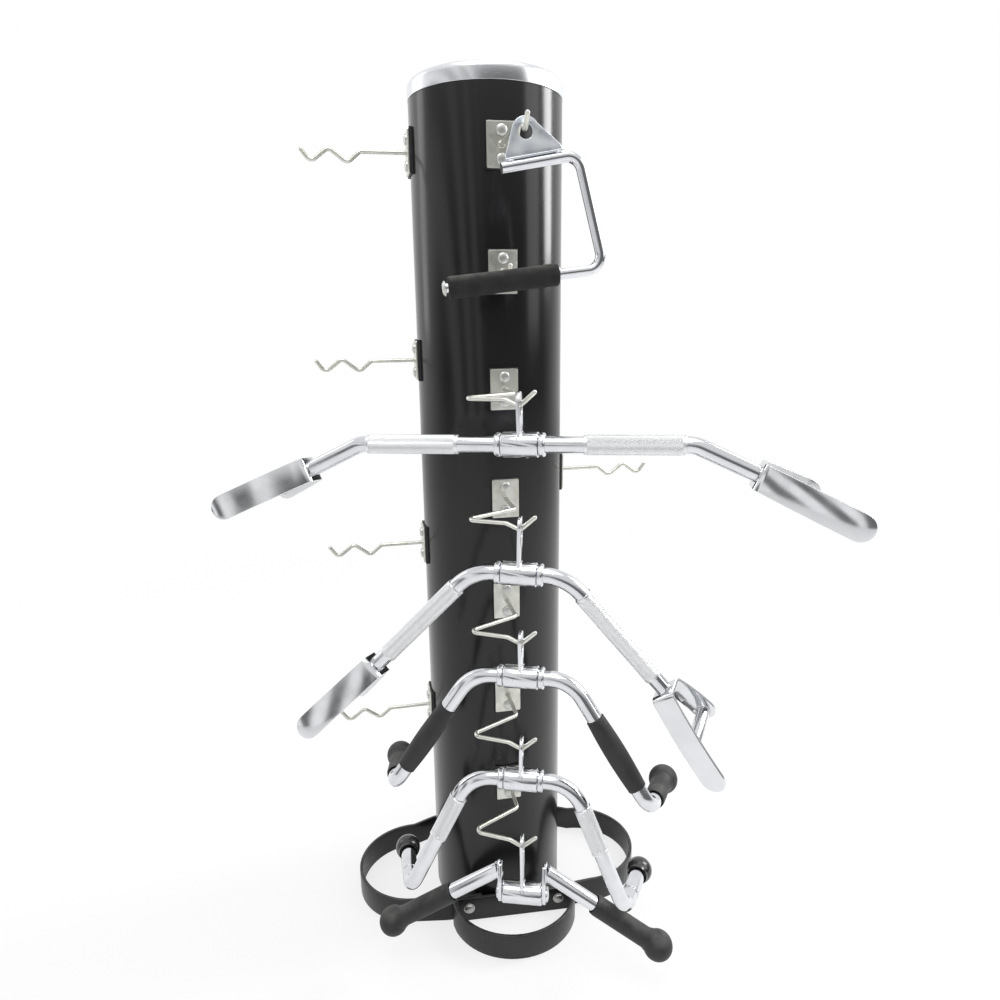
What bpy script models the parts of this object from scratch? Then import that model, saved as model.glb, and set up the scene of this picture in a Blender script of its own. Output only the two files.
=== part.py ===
"""Cable attachment rack: a round column on four flat-bar hoops, with wire hooks and six hung handles.

Metres, +Z up. The origin is on the floor under the column's axis, and the front faces -Y.
"""

from math import acos, cos, pi, radians, sin, tan

import bmesh
import bpy
from mathutils import Matrix, Vector

# Column and its top
COLUMN_RADIUS = 0.125
COLUMN_WALL = 0.003
COLUMN_HEIGHT = 1.464
RING_HEIGHT = 0.028
RING_WIDTH = 0.020
RING_ROUND = 0.011
SPIGOT_DEPTH = 0.015
CAP_THICKNESS = 0.004

# Foot: a closed hoop of flat bar before and behind the column, and an open hoop at each side
# whose legs are bolted behind the straight backs of the closed ones
BAR_HEIGHT = 0.050
BAR_THICKNESS = 0.006
FOOT_TURN = radians(-3.4)
CLOSED_OFFSET = 0.015
CLOSED_HALF_WIDTH = 0.1215
CLOSED_REACH = 0.2315
CLOSED_TOE = 0.115
CLOSED_CORNER = 0.009
SIDE_OFFSET = -0.010
SIDE_HALF_WIDTH = 0.109
SIDE_REACH = 0.2835
SIDE_TOE = 0.112
LEG_START = 0.047
LEG_STRAIGHT = 0.114
FOOT_BOLT_X = 0.087
FOOT_BOLT_Z = 0.028
FOOT_BOLT_RADIUS = 0.004
FOOT_HEAD_RADIUS = 0.008
FOOT_HEAD_HEIGHT = 0.005
NUT_HEIGHT = 0.006

# Hooks: a plate with two bolts on a saddle pad, and a wire welded to the plate. A drop is how far
# a side's first hook lies below the column's top
PAD_SIZE = (0.048, 0.068)
PAD_THICKNESS = 0.0020
PLATE_SIZE = (0.045, 0.065)
PLATE_THICKNESS = 0.003
HOOK_BOLT_Z = 0.020
HOOK_HEAD_RADIUS = 0.0085
HOOK_HEAD_HEIGHT = 0.0045
WIRE_RADIUS = 0.0033
WIRE_BEND = 0.009
FRONT_HOOK_DROP = 0.0885
FRONT_HOOK_PITCH = 0.1803
LEFT_HOOK_DROP = 0.077
LEFT_HOOK_PITCH = 0.329
RIGHT_HOOK_DROP = 0.611
# Wire corners: sideways, out from the column's axis, and up from the plate's centre
WAVY_WIRE = ((0, 0.205, 0), (0, 0.2255, -0.0172), (0, 0.254, 0.0047), (0, 0.2827, -0.0172), (0, 0.298, 0.0042))
ZIGZAG_WIRE = (
    (0, 0.201, 0),
    (-0.086, 0.2435, 0),
    (-0.030, 0.2765, 0),
    (-0.011, 0.2865, -0.0089),
    (0.011, 0.296, 0.0130),
)
SHORT_WIRE = ((0, 0.179, 0), (0, 0.187, 0.008))

# Hanger of the revolving bars: a hub under an eye plate
BAR_RADIUS = 0.0123
HUB_RADIUS = 0.0183
HUB_LENGTH = 0.053
COLLAR_LENGTH = 0.0095
EYE_DROP = 0.056
LONG_EYE_DROP = 0.069
EYE_THICKNESS = 0.005
EYE_HOLE = 0.0095
EYE_HALF_WIDTH = 0.016
EYE_RIM = 0.0135
KNURL_RADIUS = 0.0142

# Stirrups on the ends of the two upper bars
STRIP_WIDTH = 0.0375
STRIP_THICKNESS = 0.005
STIRRUP_TOP = 0.0165
STIRRUP_BEND = 0.009
STIRRUP_SPREAD = radians(15.5)
FRONT_LEG = 0.150
REAR_LEG = 0.098
CROSS_ROD_AT = 0.081
CROSS_ROD_RADIUS = 0.0105
PIN_RADIUS = 0.006
PIN_HEAD_RADIUS = 0.0085
PIN_HEAD_HEIGHT = 0.004
UPPER_STIRRUP_TURNS = (radians(8.0), radians(0.0))
WIDE_STIRRUP_TURNS = (radians(12.0), radians(22.0))

# Arms of the bars: corners from the hub's centre (sideways, back, up) for the right half,
# the radius of each bend, and how far from the first corner a sleeve or grip starts and ends
UPPER_BAR = ((0.240, 0, 0), (0.3208, 0, -0.038))
UPPER_BENDS = (0.040,)
UPPER_KNURL = (-0.1495, -0.0115)
WIDE_BAR = ((0.070, 0, 0), (0.222, 0, -0.1665))
WIDE_BENDS = (0.079,)
WIDE_KNURL = (0.037, 0.200)
GRIP_BAR = ((0.077, 0, 0), (0.200, 0, -0.187), (0.2235, 0.104, -0.187))
GRIP_BENDS = (0.062, 0.025)
GRIP_SPAN = (0.068, 0.188)
GRIP_BAR_LEAN = radians(11.3)
SMALL_BAR = ((0.082, 0, 0), (0.174, 0, -0.202), (0.205, 0.1055, -0.202))
SMALL_BENDS = (0.060, 0.025)
SMALL_KNURL = (0.042, 0.120)
SMALL_BAR_LEAN = radians(8.5)

# Rubber grips; the straight ones are barrels
GRIP_WALL = 0.0027
BARREL_END = 0.0143
BARREL_MIDDLE = 0.0166
RETURN_GRIP = 0.086
RETURN_BALL_RADIUS = 0.0232
BALL_RADIUS = 0.0215

# V handle
EAR_X = 0.0335
EAR_THICKNESS = 0.006
EAR_HALF_WIDTH = 0.016
EAR_TOP = 0.056
EAR_BOTTOM = 0.016
V_DROP = 0.091
V_HUB_RADIUS = 0.018
V_PIN_RADIUS = 0.008
V_ROD_RADIUS = 0.0123
V_ROD_START = (0.039, 0, 0.043)
V_ROD_END = (0.228, 0, -0.084)
V_GRIP_START = 0.096
V_BALL_RADIUS = 0.0245

# Single handle
ROD_RADIUS = 0.0065
HANDLE_TURN = radians(6.5)
HANDLE_ROD = ((-0.040, -0.042), (0.062, -0.042), (0.090, -0.184), (-0.131, -0.184))
HANDLE_BEND = 0.015
HANDLE_EYE_BASE = (-0.033, 0.045)
HANDLE_EYE_THICKNESS = 0.003
HANDLE_FLANGE = 0.010
HANDLE_GRIP = (-0.127, 0.024)
HANDLE_GRIP_RADIUS = 0.0140
HANDLE_BUTTON_RADIUS = 0.010
HANDLE_BUTTON_HEIGHT = 0.004
HANDLE_WASHER_RADIUS = 0.010
HANDLE_WASHER_THICKNESS = 0.003
HANDLE_EYE_RIM = 0.009
HANDLE_EYE_LIFT = 0.0015
HANDLE_SHOULDER_INSET = 0.002
HANDLE_SHOULDER_HEIGHT = 0.008
HANDLE_FLANGE_THICKNESS = 0.003
HANDLE_WELD_RADIUS = 0.004
HANDLE_WELD_INSET = 0.006

# How each bar and the V handle hang: the hook's number, the turn and the tilt on it, and how
# far the hub lies below the wire
HANGS = {
    "upper_bar": (3, radians(22.9), radians(-1.0), EYE_DROP),
    "wide_bar": (4, radians(20.2), radians(1.6), LONG_EYE_DROP),
    "grip_bar": (5, radians(21.2), 0.0, EYE_DROP),
    "small_bar": (6, radians(17.9), radians(1.7), EYE_DROP),
    "v_handle": (7, radians(18.5), 0.0, V_DROP),
}

# Clearances
GAP = 0.0003
RUNNING_GAP = 0.0004
HANG_GAP = 0.0026

COLUMN_SIDES = 36
GRIP_SIDES = 12
MERGE = 0.00001

COLORS = {
    "black_paint": ((0.012, 0.012, 0.013), 0.30, 0.0),
    "chrome": ((0.75, 0.76, 0.78), 0.08, 1.0),
    "zinc": ((0.62, 0.62, 0.58), 0.35, 1.0),
    "rubber": ((0.018, 0.018, 0.019), 0.65, 0.0),
    "black_plastic": ((0.015, 0.015, 0.015), 0.45, 0.0),
}


def clear_scene():
    for old in list(bpy.data.objects):
        bpy.data.objects.remove(old, do_unlink=True)


def make_collection(name):
    collection = bpy.data.collections.new(name)
    bpy.context.scene.collection.children.link(collection)
    return collection


def material_for(name, kind):
    color, roughness, metallic = COLORS[kind]
    material = bpy.data.materials.new(name + "_" + kind)
    material.use_nodes = True
    shader = material.node_tree.nodes["Principled BSDF"]
    shader.inputs["Base Color"].default_value = (*color, 1.0)
    shader.inputs["Roughness"].default_value = roughness
    shader.inputs["Metallic"].default_value = metallic
    material.diffuse_color = (*color, 1.0)
    return material


def place(obj, name, kind, parent=None, matrix=None):
    """Names a finished solid, gives it its material and hangs it on its parent."""
    obj.name = name
    obj.data.name = name
    obj.data.materials.clear()
    obj.data.materials.append(material_for(name, kind))
    for holder in list(obj.users_collection):
        holder.objects.unlink(obj)
    rack.objects.link(obj)
    obj.parent = parent
    obj.matrix_local = matrix or Matrix.Identity(4)
    return obj


def empty(name, parent=None, matrix=None):
    pivot = bpy.data.objects.new(name, None)
    pivot.empty_display_size = 0.02
    rack.objects.link(pivot)
    pivot.parent = parent
    pivot.matrix_local = matrix or Matrix.Identity(4)
    return pivot


def bake(obj):
    """Replaces a curve, or a mesh with modifiers, by the closed mesh that it shows."""
    bpy.context.view_layer.update()
    graph = bpy.context.evaluated_depsgraph_get()
    mesh = bpy.data.meshes.new_from_object(obj.evaluated_get(graph))
    welded = bmesh.new()
    welded.from_mesh(mesh)
    bmesh.ops.remove_doubles(welded, verts=welded.verts, dist=MERGE)
    welded.to_mesh(mesh)
    welded.free()
    baked = bpy.data.objects.new(obj.name, mesh)
    baked.matrix_world = obj.matrix_world.copy()
    bpy.context.scene.collection.objects.link(baked)
    bpy.data.objects.remove(obj, do_unlink=True)
    return baked


def combine(base, tools, operation):
    """Joins or cuts base with each tool, then removes the tools."""
    for tool in tools:
        boolean = base.modifiers.new(operation.lower(), "BOOLEAN")
        boolean.operation = operation
        boolean.solver = "EXACT"
        boolean.object = tool
    result = bake(base)
    for tool in tools:
        bpy.data.objects.remove(tool, do_unlink=True)
    return result


def join(base, *tools):
    return combine(base, tools, "UNION")


def cut(base, *tools):
    return combine(base, tools, "DIFFERENCE")


def moved(obj, matrix):
    """Moves a loose mesh's points, so that it can be joined in its parent's frame."""
    obj.data.transform(matrix)
    return obj


def box(size, center):
    bpy.ops.mesh.primitive_cube_add(size=1)
    obj = bpy.context.active_object
    return moved(obj, Matrix.Translation(center) @ Matrix.Diagonal((*size, 1)))


def axis_matrix(start, direction):
    turn = Vector((0, 0, 1)).rotation_difference(Vector(direction)).to_matrix().to_4x4()
    return Matrix.Translation(start) @ turn


def rod(start, end, radius, sides=16):
    start, end = Vector(start), Vector(end)
    bpy.ops.mesh.primitive_cylinder_add(vertices=sides, radius=radius, depth=(end - start).length)
    return moved(bpy.context.active_object, axis_matrix((start + end) / 2, end - start))


def turned(profile, steps, start=(0, 0, 0), direction=(0, 0, 1), closed=False):
    """A profile of (radius, height) pairs turned about an axis; it runs down the outer side."""
    mesh = bpy.data.meshes.new("turned")
    edges = [(i, i + 1) for i in range(len(profile) - 1)]
    if closed:
        edges.append((len(profile) - 1, 0))
    mesh.from_pydata([(r, 0, z) for r, z in profile], edges, [])
    obj = bpy.data.objects.new("turned", mesh)
    bpy.context.scene.collection.objects.link(obj)
    screw = obj.modifiers.new("screw", "SCREW")
    screw.steps = steps
    screw.render_steps = steps
    screw.use_merge_vertices = True
    screw.merge_threshold = MERGE
    return moved(bake(obj), axis_matrix(start, direction))


def rounded(points, bend, turn_step=radians(22)):
    """The corner points of a path, with an arc of radius bend at each inner corner."""
    points = [Vector(p) for p in points]
    bends = bend if isinstance(bend, (list, tuple)) else [bend] * (len(points) - 2)
    path = [points[0]]
    for i, radius in enumerate(bends, start=1):
        to_last = (points[i - 1] - points[i]).normalized()
        to_next = (points[i + 1] - points[i]).normalized()
        half = acos(max(-1, min(1, to_last.dot(to_next)))) / 2
        center = points[i] + (to_last + to_next).normalized() * radius / sin(half)
        first = points[i] + to_last * radius / tan(half)
        sweep = pi - 2 * half
        normal = (first - center).cross(points[i] + to_next * radius / tan(half) - center)
        count = max(2, round(sweep / turn_step))
        for k in range(count + 1):
            path.append(center + Matrix.Rotation(sweep * k / count, 3, normal) @ (first - center))
    path.append(points[-1])
    return path


def tube(path, radius, resolution=2):
    """A round bar along a path of points, as a closed mesh."""
    data = bpy.data.curves.new("tube", "CURVE")
    data.dimensions = "3D"
    data.bevel_depth = radius
    data.bevel_resolution = resolution
    data.use_fill_caps = True
    spline = data.splines.new("POLY")
    spline.points.add(len(path) - 1)
    for point, co in zip(spline.points, path):
        point.co = (*co, 1)
    obj = bpy.data.objects.new("tube", data)
    bpy.context.scene.collection.objects.link(obj)
    return bake(obj)


def plate(outlines, thickness, matrix):
    """A flat plate of the given outlines, with the inner ones as holes."""
    data = bpy.data.curves.new("plate", "CURVE")
    data.dimensions = "2D"
    data.fill_mode = "BOTH"
    data.extrude = thickness / 2
    for outline in outlines:
        spline = data.splines.new("POLY")
        spline.points.add(len(outline) - 1)
        spline.use_cyclic_u = True
        for point, (x, y) in zip(spline.points, outline):
            point.co = (x, y, 0, 1)
    obj = bpy.data.objects.new("plate", data)
    bpy.context.scene.collection.objects.link(obj)
    return moved(bake(obj), matrix)


def strip(path, across, half_widths, thickness, closed=False):
    """A flat bar bent along a path, as wide as half_widths says at each point."""
    mesh = bpy.data.meshes.new("strip")
    across = Vector(across)
    verts = []
    for point, half in zip(path, half_widths):
        verts += [point - across * half, point + across * half]
    faces = [(2 * i, 2 * i + 1, 2 * i + 3, 2 * i + 2) for i in range(len(path) - 1)]
    if closed:
        last = 2 * len(path)
        faces.append((last - 2, last - 1, 1, 0))
    mesh.from_pydata(verts, [], faces)
    obj = bpy.data.objects.new("strip", mesh)
    bpy.context.scene.collection.objects.link(obj)
    solidify = obj.modifiers.new("solidify", "SOLIDIFY")
    solidify.thickness = thickness
    solidify.offset = 0
    solidify.use_even_offset = True
    return bake(obj)


def circle(radius, center=(0, 0), count=16, start=0.0, sweep=2 * pi):
    steps = count if sweep >= 2 * pi else count + 1
    return [
        (center[0] + radius * cos(start + sweep * i / count), center[1] + radius * sin(start + sweep * i / count))
        for i in range(steps)
    ]


def dome(radius, height, start, direction, steps=8, depth=0.001):
    """A round bolt head standing on start, sunk a little into what carries it."""
    profile = [(0, height), (radius * 0.72, height * 0.85), (radius, -depth), (0, -depth)]
    return turned(profile, steps, start, direction)


def build_column():
    """A tube with a welded plate as its foot, open at the top."""
    inside = COLUMN_RADIUS - COLUMN_WALL
    profile = [
        (0, COLUMN_WALL),
        (inside, COLUMN_WALL),
        (inside, COLUMN_HEIGHT),
        (COLUMN_RADIUS, COLUMN_HEIGHT),
        (COLUMN_RADIUS, 0),
        (0, 0),
    ]
    place(turned(profile, COLUMN_SIDES), "column_tube", "black_paint")


def build_top():
    bottom = COLUMN_HEIGHT + GAP
    top = bottom + RING_HEIGHT
    outer = COLUMN_RADIUS + 0.0008
    inner = outer - RING_WIDTH
    spigot = COLUMN_RADIUS - COLUMN_WALL - GAP * 2
    ledge = top - RING_ROUND / 3 - CAP_THICKNESS - 2 * GAP
    arc = circle(RING_ROUND, (outer - RING_ROUND, top - RING_ROUND), 3, pi / 2, -pi / 2)
    profile = arc + [
        (outer, bottom),
        (spigot, bottom),
        (spigot, bottom - SPIGOT_DEPTH),
        (inner - CAP_THICKNESS, bottom - SPIGOT_DEPTH),
        (inner - CAP_THICKNESS, ledge),
        (inner, ledge),
        (inner, top),
    ]
    place(turned(profile, COLUMN_SIDES, closed=True), "top_ring", "chrome")
    cap = turned(
        [(0, ledge + GAP + CAP_THICKNESS), (inner - GAP, ledge + GAP + CAP_THICKNESS), (inner - GAP, ledge + GAP), (0, ledge + GAP)],
        COLUMN_SIDES,
    )
    place(cap, "top_cap", "black_paint")


def foot_matrix():
    return Matrix.Rotation(FOOT_TURN, 4, "Z") @ Matrix.Translation((0, 0, BAR_HEIGHT / 2))


def foot_bolts():
    return [CLOSED_OFFSET + side * FOOT_BOLT_X for side in (-1, 1)]


def ellipse_point(half_width, depth, angle):
    return Vector((half_width * cos(angle), depth * sin(angle), 0))


def build_closed_hoop(name, side):
    """A D-shaped hoop with its straight back on the column, and the bolts and nuts through it."""
    half = BAR_THICKNESS / 2
    back = COLUMN_RADIUS + GAP + half
    width = CLOSED_HALF_WIDTH - half
    depth = CLOSED_TOE - half
    middle = CLOSED_REACH - CLOSED_TOE
    arc = [Vector((0, middle, 0)) + ellipse_point(width, depth, radians(a)) for a in (20, 30, 42, 54, 66, 78, 90)]
    corner = rounded([(0, back, 0), (width, back, 0), arc[0]], CLOSED_CORNER, radians(30))
    quarter = corner[1:] + arc[1:]
    ring = quarter + [flip(p) for p in reversed(quarter[:-1])]
    path = [Vector((p.x + CLOSED_OFFSET, side * p.y, 0)) for p in ring]
    hoop = strip(path, (0, 0, 1), [BAR_HEIGHT / 2] * len(path), BAR_THICKNESS, closed=True)
    face = back + half
    leg = back - half - GAP - BAR_THICKNESS
    z = FOOT_BOLT_Z - BAR_HEIGHT / 2
    fittings = []
    for x in foot_bolts():
        nut = leg - GAP
        fittings.append(rod((x, side * (nut - 0.001), z), (x, side * (face - 0.001), z), FOOT_BOLT_RADIUS, 8))
        fittings.append(rod((x, side * (nut - NUT_HEIGHT), z), (x, side * nut, z), FOOT_HEAD_RADIUS, 6))
        fittings.append(dome(FOOT_HEAD_RADIUS, FOOT_HEAD_HEIGHT, (x, side * face, z), (0, side, 0)))
    place(join(hoop, *fittings), "foot_hoop_" + name, "black_paint", matrix=foot_matrix())


def build_side_hoop(name, side):
    """A U-shaped hoop whose two legs lie behind the backs of the closed hoops."""
    half = BAR_THICKNESS / 2
    leg = COLUMN_RADIUS - half
    width = SIDE_HALF_WIDTH - half
    toe = SIDE_REACH - SIDE_TOE
    depth = SIDE_TOE - half
    arc = [(toe + depth * cos(a), SIDE_OFFSET + width * sin(a)) for a in (radians(d) for d in range(-90, 91, 15))]
    points = [(LEG_START, -leg), (LEG_STRAIGHT, -leg)] + arc + [(LEG_STRAIGHT, leg), (LEG_START, leg)]
    path = [Vector((side * x, y, 0)) for x, y in points]
    hoop = strip(path, (0, 0, 1), [BAR_HEIGHT / 2] * len(path), BAR_THICKNESS)
    z = FOOT_BOLT_Z - BAR_HEIGHT / 2
    bore = FOOT_BOLT_RADIUS + RUNNING_GAP
    holes = [rod((x, -2 * leg, z), (x, 2 * leg, z), bore, 8) for x in foot_bolts() if x * side > 0]
    place(cut(hoop, *holes), "foot_hoop_" + name, "black_paint", matrix=foot_matrix())


def wire_path(corners):
    start = COLUMN_RADIUS + PAD_THICKNESS + PLATE_THICKNESS / 2
    points = [(0, -start, 0)] + [(x, -out, z) for x, out, z in corners]
    return rounded(points, WIRE_BEND, radians(40))


def lowest(path):
    return min(path, key=lambda point: point.z)


def build_hook(name, corners, turn, height):
    """A saddle pad on the column, and the plate, wire and two bolt heads that it carries."""
    matrix = Matrix.Rotation(turn, 4, "Z") @ Matrix.Translation((0, 0, height))
    outer = COLUMN_RADIUS + PAD_THICKNESS
    pad = box((PAD_SIZE[0], 0.014, PAD_SIZE[1]), (0, -outer + 0.007, 0))
    bore = turned([(0, 0.1), (COLUMN_RADIUS + GAP, 0.1), (COLUMN_RADIUS + GAP, -0.1), (0, -0.1)], COLUMN_SIDES)
    place(cut(pad, bore), "pad_" + name, "black_plastic", matrix=matrix)

    back = outer + GAP
    front = back + PLATE_THICKNESS
    base = box((PLATE_SIZE[0], PLATE_THICKNESS, PLATE_SIZE[1]), (0, -(back + front) / 2, 0))
    wire = tube(wire_path(corners), WIRE_RADIUS)
    heads = [
        dome(HOOK_HEAD_RADIUS, HOOK_HEAD_HEIGHT, (0, -front, z), (0, -1, 0)) for z in (-HOOK_BOLT_Z, HOOK_BOLT_Z)
    ]
    place(join(base, wire, *heads), "hook_" + name, "zinc", matrix=matrix)


def build_hooks():
    for i in range(7):
        corners = ZIGZAG_WIRE if i > 1 else (WAVY_WIRE, SHORT_WIRE)[i]
        build_hook("front_%d" % (i + 1), corners, 0, COLUMN_HEIGHT - FRONT_HOOK_DROP - i * FRONT_HOOK_PITCH)
    for i in range(4):
        build_hook("left_%d" % (i + 1), WAVY_WIRE, -pi / 2, COLUMN_HEIGHT - LEFT_HOOK_DROP - i * LEFT_HOOK_PITCH)
    build_hook("right_1", WAVY_WIRE, pi / 2, COLUMN_HEIGHT - RIGHT_HOOK_DROP)


def hang_pivot(name):
    """An empty on the wire at the bottom of a zigzag hook, turned as the photo's bar hangs."""
    number, yaw, tilt, _ = HANGS[name]
    spot = lowest(wire_path(ZIGZAG_WIRE))
    height = COLUMN_HEIGHT - FRONT_HOOK_DROP - (number - 1) * FRONT_HOOK_PITCH
    turn = Matrix.Rotation(-yaw, 4, "Z") @ Matrix.Rotation(tilt, 4, "Y")
    return empty(name + "_hang", matrix=Matrix.Translation(spot + Vector((0, 0, height))) @ turn)


def eye_outline(drop, foot_half_width):
    """The eye plate's outline in its own plane, with the wire's centre at the origin."""
    hole_z = -(EYE_HOLE - WIRE_RADIUS - HANG_GAP)
    top = circle(EYE_HALF_WIDTH, (0, hole_z + EYE_HOLE + EYE_RIM - EYE_HALF_WIDTH), 8, 0, pi)
    skirt = -drop + foot_half_width * 0.75
    outline = top + [(-EYE_HALF_WIDTH * 0.8, skirt), (-foot_half_width, -drop), (foot_half_width, -drop)]
    outline.append((EYE_HALF_WIDTH * 0.8, skirt))
    return [outline, circle(EYE_HOLE, (0, hole_z), 12)]


def build_hanger(name, pivot, hub_radius, bore, length):
    """The eye plate and the hub under it, as one welded piece."""
    drop = HANGS[name][3]
    upright = Matrix.Rotation(pi / 2, 4, "Z") @ Matrix.Rotation(pi / 2, 4, "X")
    eye = plate(eye_outline(drop, hub_radius * 0.96), EYE_THICKNESS, upright)
    hub = rod((-length / 2, 0, -drop), (length / 2, 0, -drop), hub_radius, 18)
    hole = rod((-length, 0, -drop), (length, 0, -drop), bore, 14)
    place(cut(join(hub, eye), hole), name + "_hanger", "chrome", pivot)


def mirror_path(half):
    """A whole bar's corner points from those of its right half."""
    points = [Vector(p) for p in half]
    return [Vector((-p.x, p.y, p.z)) for p in reversed(points)] + points


def bar_path(half, bends):
    return rounded(mirror_path(half), list(reversed(bends)) + list(bends), radians(26))


def collars():
    inside = HUB_LENGTH / 2 + GAP
    return [
        rod((side * inside, 0, 0), (side * (inside + COLLAR_LENGTH), 0, 0), HUB_RADIUS - 0.001, 18) for side in (-1, 1)
    ]


def arm(half):
    """Where a bar's arm leaves its first corner, and which way it runs."""
    origin, knee = Vector(half[0]), Vector(half[1])
    return origin, (knee - origin).normalized()


def flip(point):
    return Vector((-point.x, point.y, point.z))


def both(maker, start, end, *args):
    return [maker(start, end, *args), maker(flip(start), flip(end), *args)]


def end_pin(end, direction):
    """The headed pin on which a stirrup turns, sunk a little into the end of the arm."""
    through = STRIP_THICKNESS + 2 * GAP
    top = through + PIN_HEAD_HEIGHT
    profile = [
        (0, top),
        (PIN_HEAD_RADIUS * 0.8, top),
        (PIN_HEAD_RADIUS, through),
        (PIN_RADIUS, through),
        (PIN_RADIUS, -0.002),
        (0, -0.002),
    ]
    return turned(profile, 10, end, direction)


def leg_point(along, side):
    """A point on the middle of a stirrup's leg; the legs spread from the top at the pin."""
    return along, side * (STIRRUP_TOP + along * tan(STIRRUP_SPREAD)), 0


def build_stirrup(name, parent, end, direction, turn):
    """A strip bent round the hand, with a cross rod between its legs; it turns on the arm's pin."""
    out = direction.normalized()
    back = Vector((0, 1, 0))
    across = out.cross(back).normalized()
    frame = Matrix((out, back, across)).transposed().to_4x4()
    pivot = empty(name + "_pivot", parent, Matrix.Translation(end) @ frame @ Matrix.Rotation(turn, 4, "X"))

    mid = GAP + STRIP_THICKNESS / 2
    corners = [leg_point(FRONT_LEG, -1), leg_point(mid, -1), leg_point(mid, 1), leg_point(REAR_LEG, 1)]
    core = rounded(corners, STIRRUP_BEND, radians(22))
    half = STRIP_WIDTH / 2
    path, widths = [], []
    for tip, inner in ((core[0], core[1]), (core[-1], core[-2])):
        inward = (inner - tip).normalized()
        ends = [(tip + inward * half * (1 - sin(a)), half * cos(a)) for a in (radians(x) for x in (80, 60, 35, 0))]
        if tip == core[0]:
            path += [p for p, _ in ends]
            widths += [w for _, w in ends]
            path += core[1:-1]
            widths += [half] * len(core[1:-1])
        else:
            path += [p for p, _ in reversed(ends)]
            widths += [w for _, w in reversed(ends)]
    strap = strip(path, (0, 0, 1), widths, STRIP_THICKNESS)
    cross = rod(leg_point(CROSS_ROD_AT, -1), leg_point(CROSS_ROD_AT, 1), CROSS_ROD_RADIUS, 12)
    hole = rod((-0.01, 0, 0), (0.02, 0, 0), PIN_RADIUS + RUNNING_GAP, 10)
    place(cut(join(strap, cross), hole), name, "chrome", pivot)


def hub_pivot(name, pivot, lean=0.0):
    return empty(name + "_hub", pivot, Matrix.Translation((0, 0, -HANGS[name][3])) @ Matrix.Rotation(-lean, 4, "X"))


def build_stirrup_bar(name, half, bends, knurl, turns):
    pivot = hang_pivot(name)
    build_hanger(name, pivot, HUB_RADIUS, BAR_RADIUS + RUNNING_GAP, HUB_LENGTH)
    hub = hub_pivot(name, pivot)
    core = tube(bar_path(half, bends), BAR_RADIUS, 4)
    origin, direction = arm(half)
    along = Vector((1, 0, 0)) if knurl[0] < 0 else direction
    sleeves = both(rod, origin + along * knurl[0], origin + along * knurl[1], KNURL_RADIUS, 16)
    end = Vector(half[-1])
    pins = [end_pin(end, direction), end_pin(flip(end), flip(direction))]
    place(join(core, *collars(), *sleeves, *pins), name + "_bar", "chrome", hub)
    build_stirrup(name + "_stirrup_right", hub, end, direction, turns[1])
    build_stirrup(name + "_stirrup_left", hub, flip(end), flip(direction), turns[0])


def grip_sleeve(start, end):
    """A straight rubber sleeve, fullest at its middle."""
    start, end = Vector(start), Vector(end)
    length = (end - start).length
    inner = (BAR_RADIUS + GAP) / cos(pi / GRIP_SIDES)
    swell = BARREL_MIDDLE - BARREL_END
    barrel = [(BARREL_END + swell * sin(pi * share), length * (1 - share)) for share in (0, 0.2, 0.4, 0.6, 0.8, 1)]
    return turned(barrel + [(inner, 0), (inner, length)], GRIP_SIDES, start, end - start, closed=True)


def ball_grip(start, direction, core_end, length, core, ball, wall=GRIP_WALL):
    """A rubber sleeve that closes over the bar's end in a ball."""
    inner = (core + GAP) / cos(pi / GRIP_SIDES)
    outer = inner + wall
    neck = length - ball * 0.75
    arc = [(ball * cos(a), length + ball * sin(a)) for a in (radians(x) for x in (90, 58, 26, -6, -40))]
    profile = arc + [(outer, neck - 0.004), (outer, 0.006), (outer - 0.001, 0), (inner, 0), (inner, core_end + GAP), (0, core_end + GAP)]
    profile[0] = (0, length + ball)
    return turned(profile, GRIP_SIDES, start, direction)


def build_grip_bar():
    name = "grip_bar"
    pivot = hang_pivot(name)
    build_hanger(name, pivot, HUB_RADIUS, BAR_RADIUS + RUNNING_GAP, HUB_LENGTH)
    hub = hub_pivot(name, pivot, GRIP_BAR_LEAN)
    core = tube(bar_path(GRIP_BAR, GRIP_BENDS), BAR_RADIUS, 4)
    place(join(core, *collars()), name + "_bar", "chrome", hub)
    origin, direction = arm(GRIP_BAR)
    sleeves = both(grip_sleeve, origin + direction * GRIP_SPAN[0], origin + direction * GRIP_SPAN[1])
    for side, sleeve in zip(("right", "left"), sleeves):
        place(sleeve, name + "_grip_" + side, "rubber", hub)
    tip = Vector(GRIP_BAR[2])
    along = (tip - Vector(GRIP_BAR[1])).normalized()
    mouth = tip - along * (RETURN_GRIP - 0.012)
    core_end = (tip - mouth).length
    for side, turn in (("right", Vector), ("left", flip)):
        grip = ball_grip(turn(mouth), turn(along), core_end, RETURN_GRIP - 0.006, BAR_RADIUS, RETURN_BALL_RADIUS)
        place(grip, name + "_return_" + side, "rubber", hub)


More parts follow.
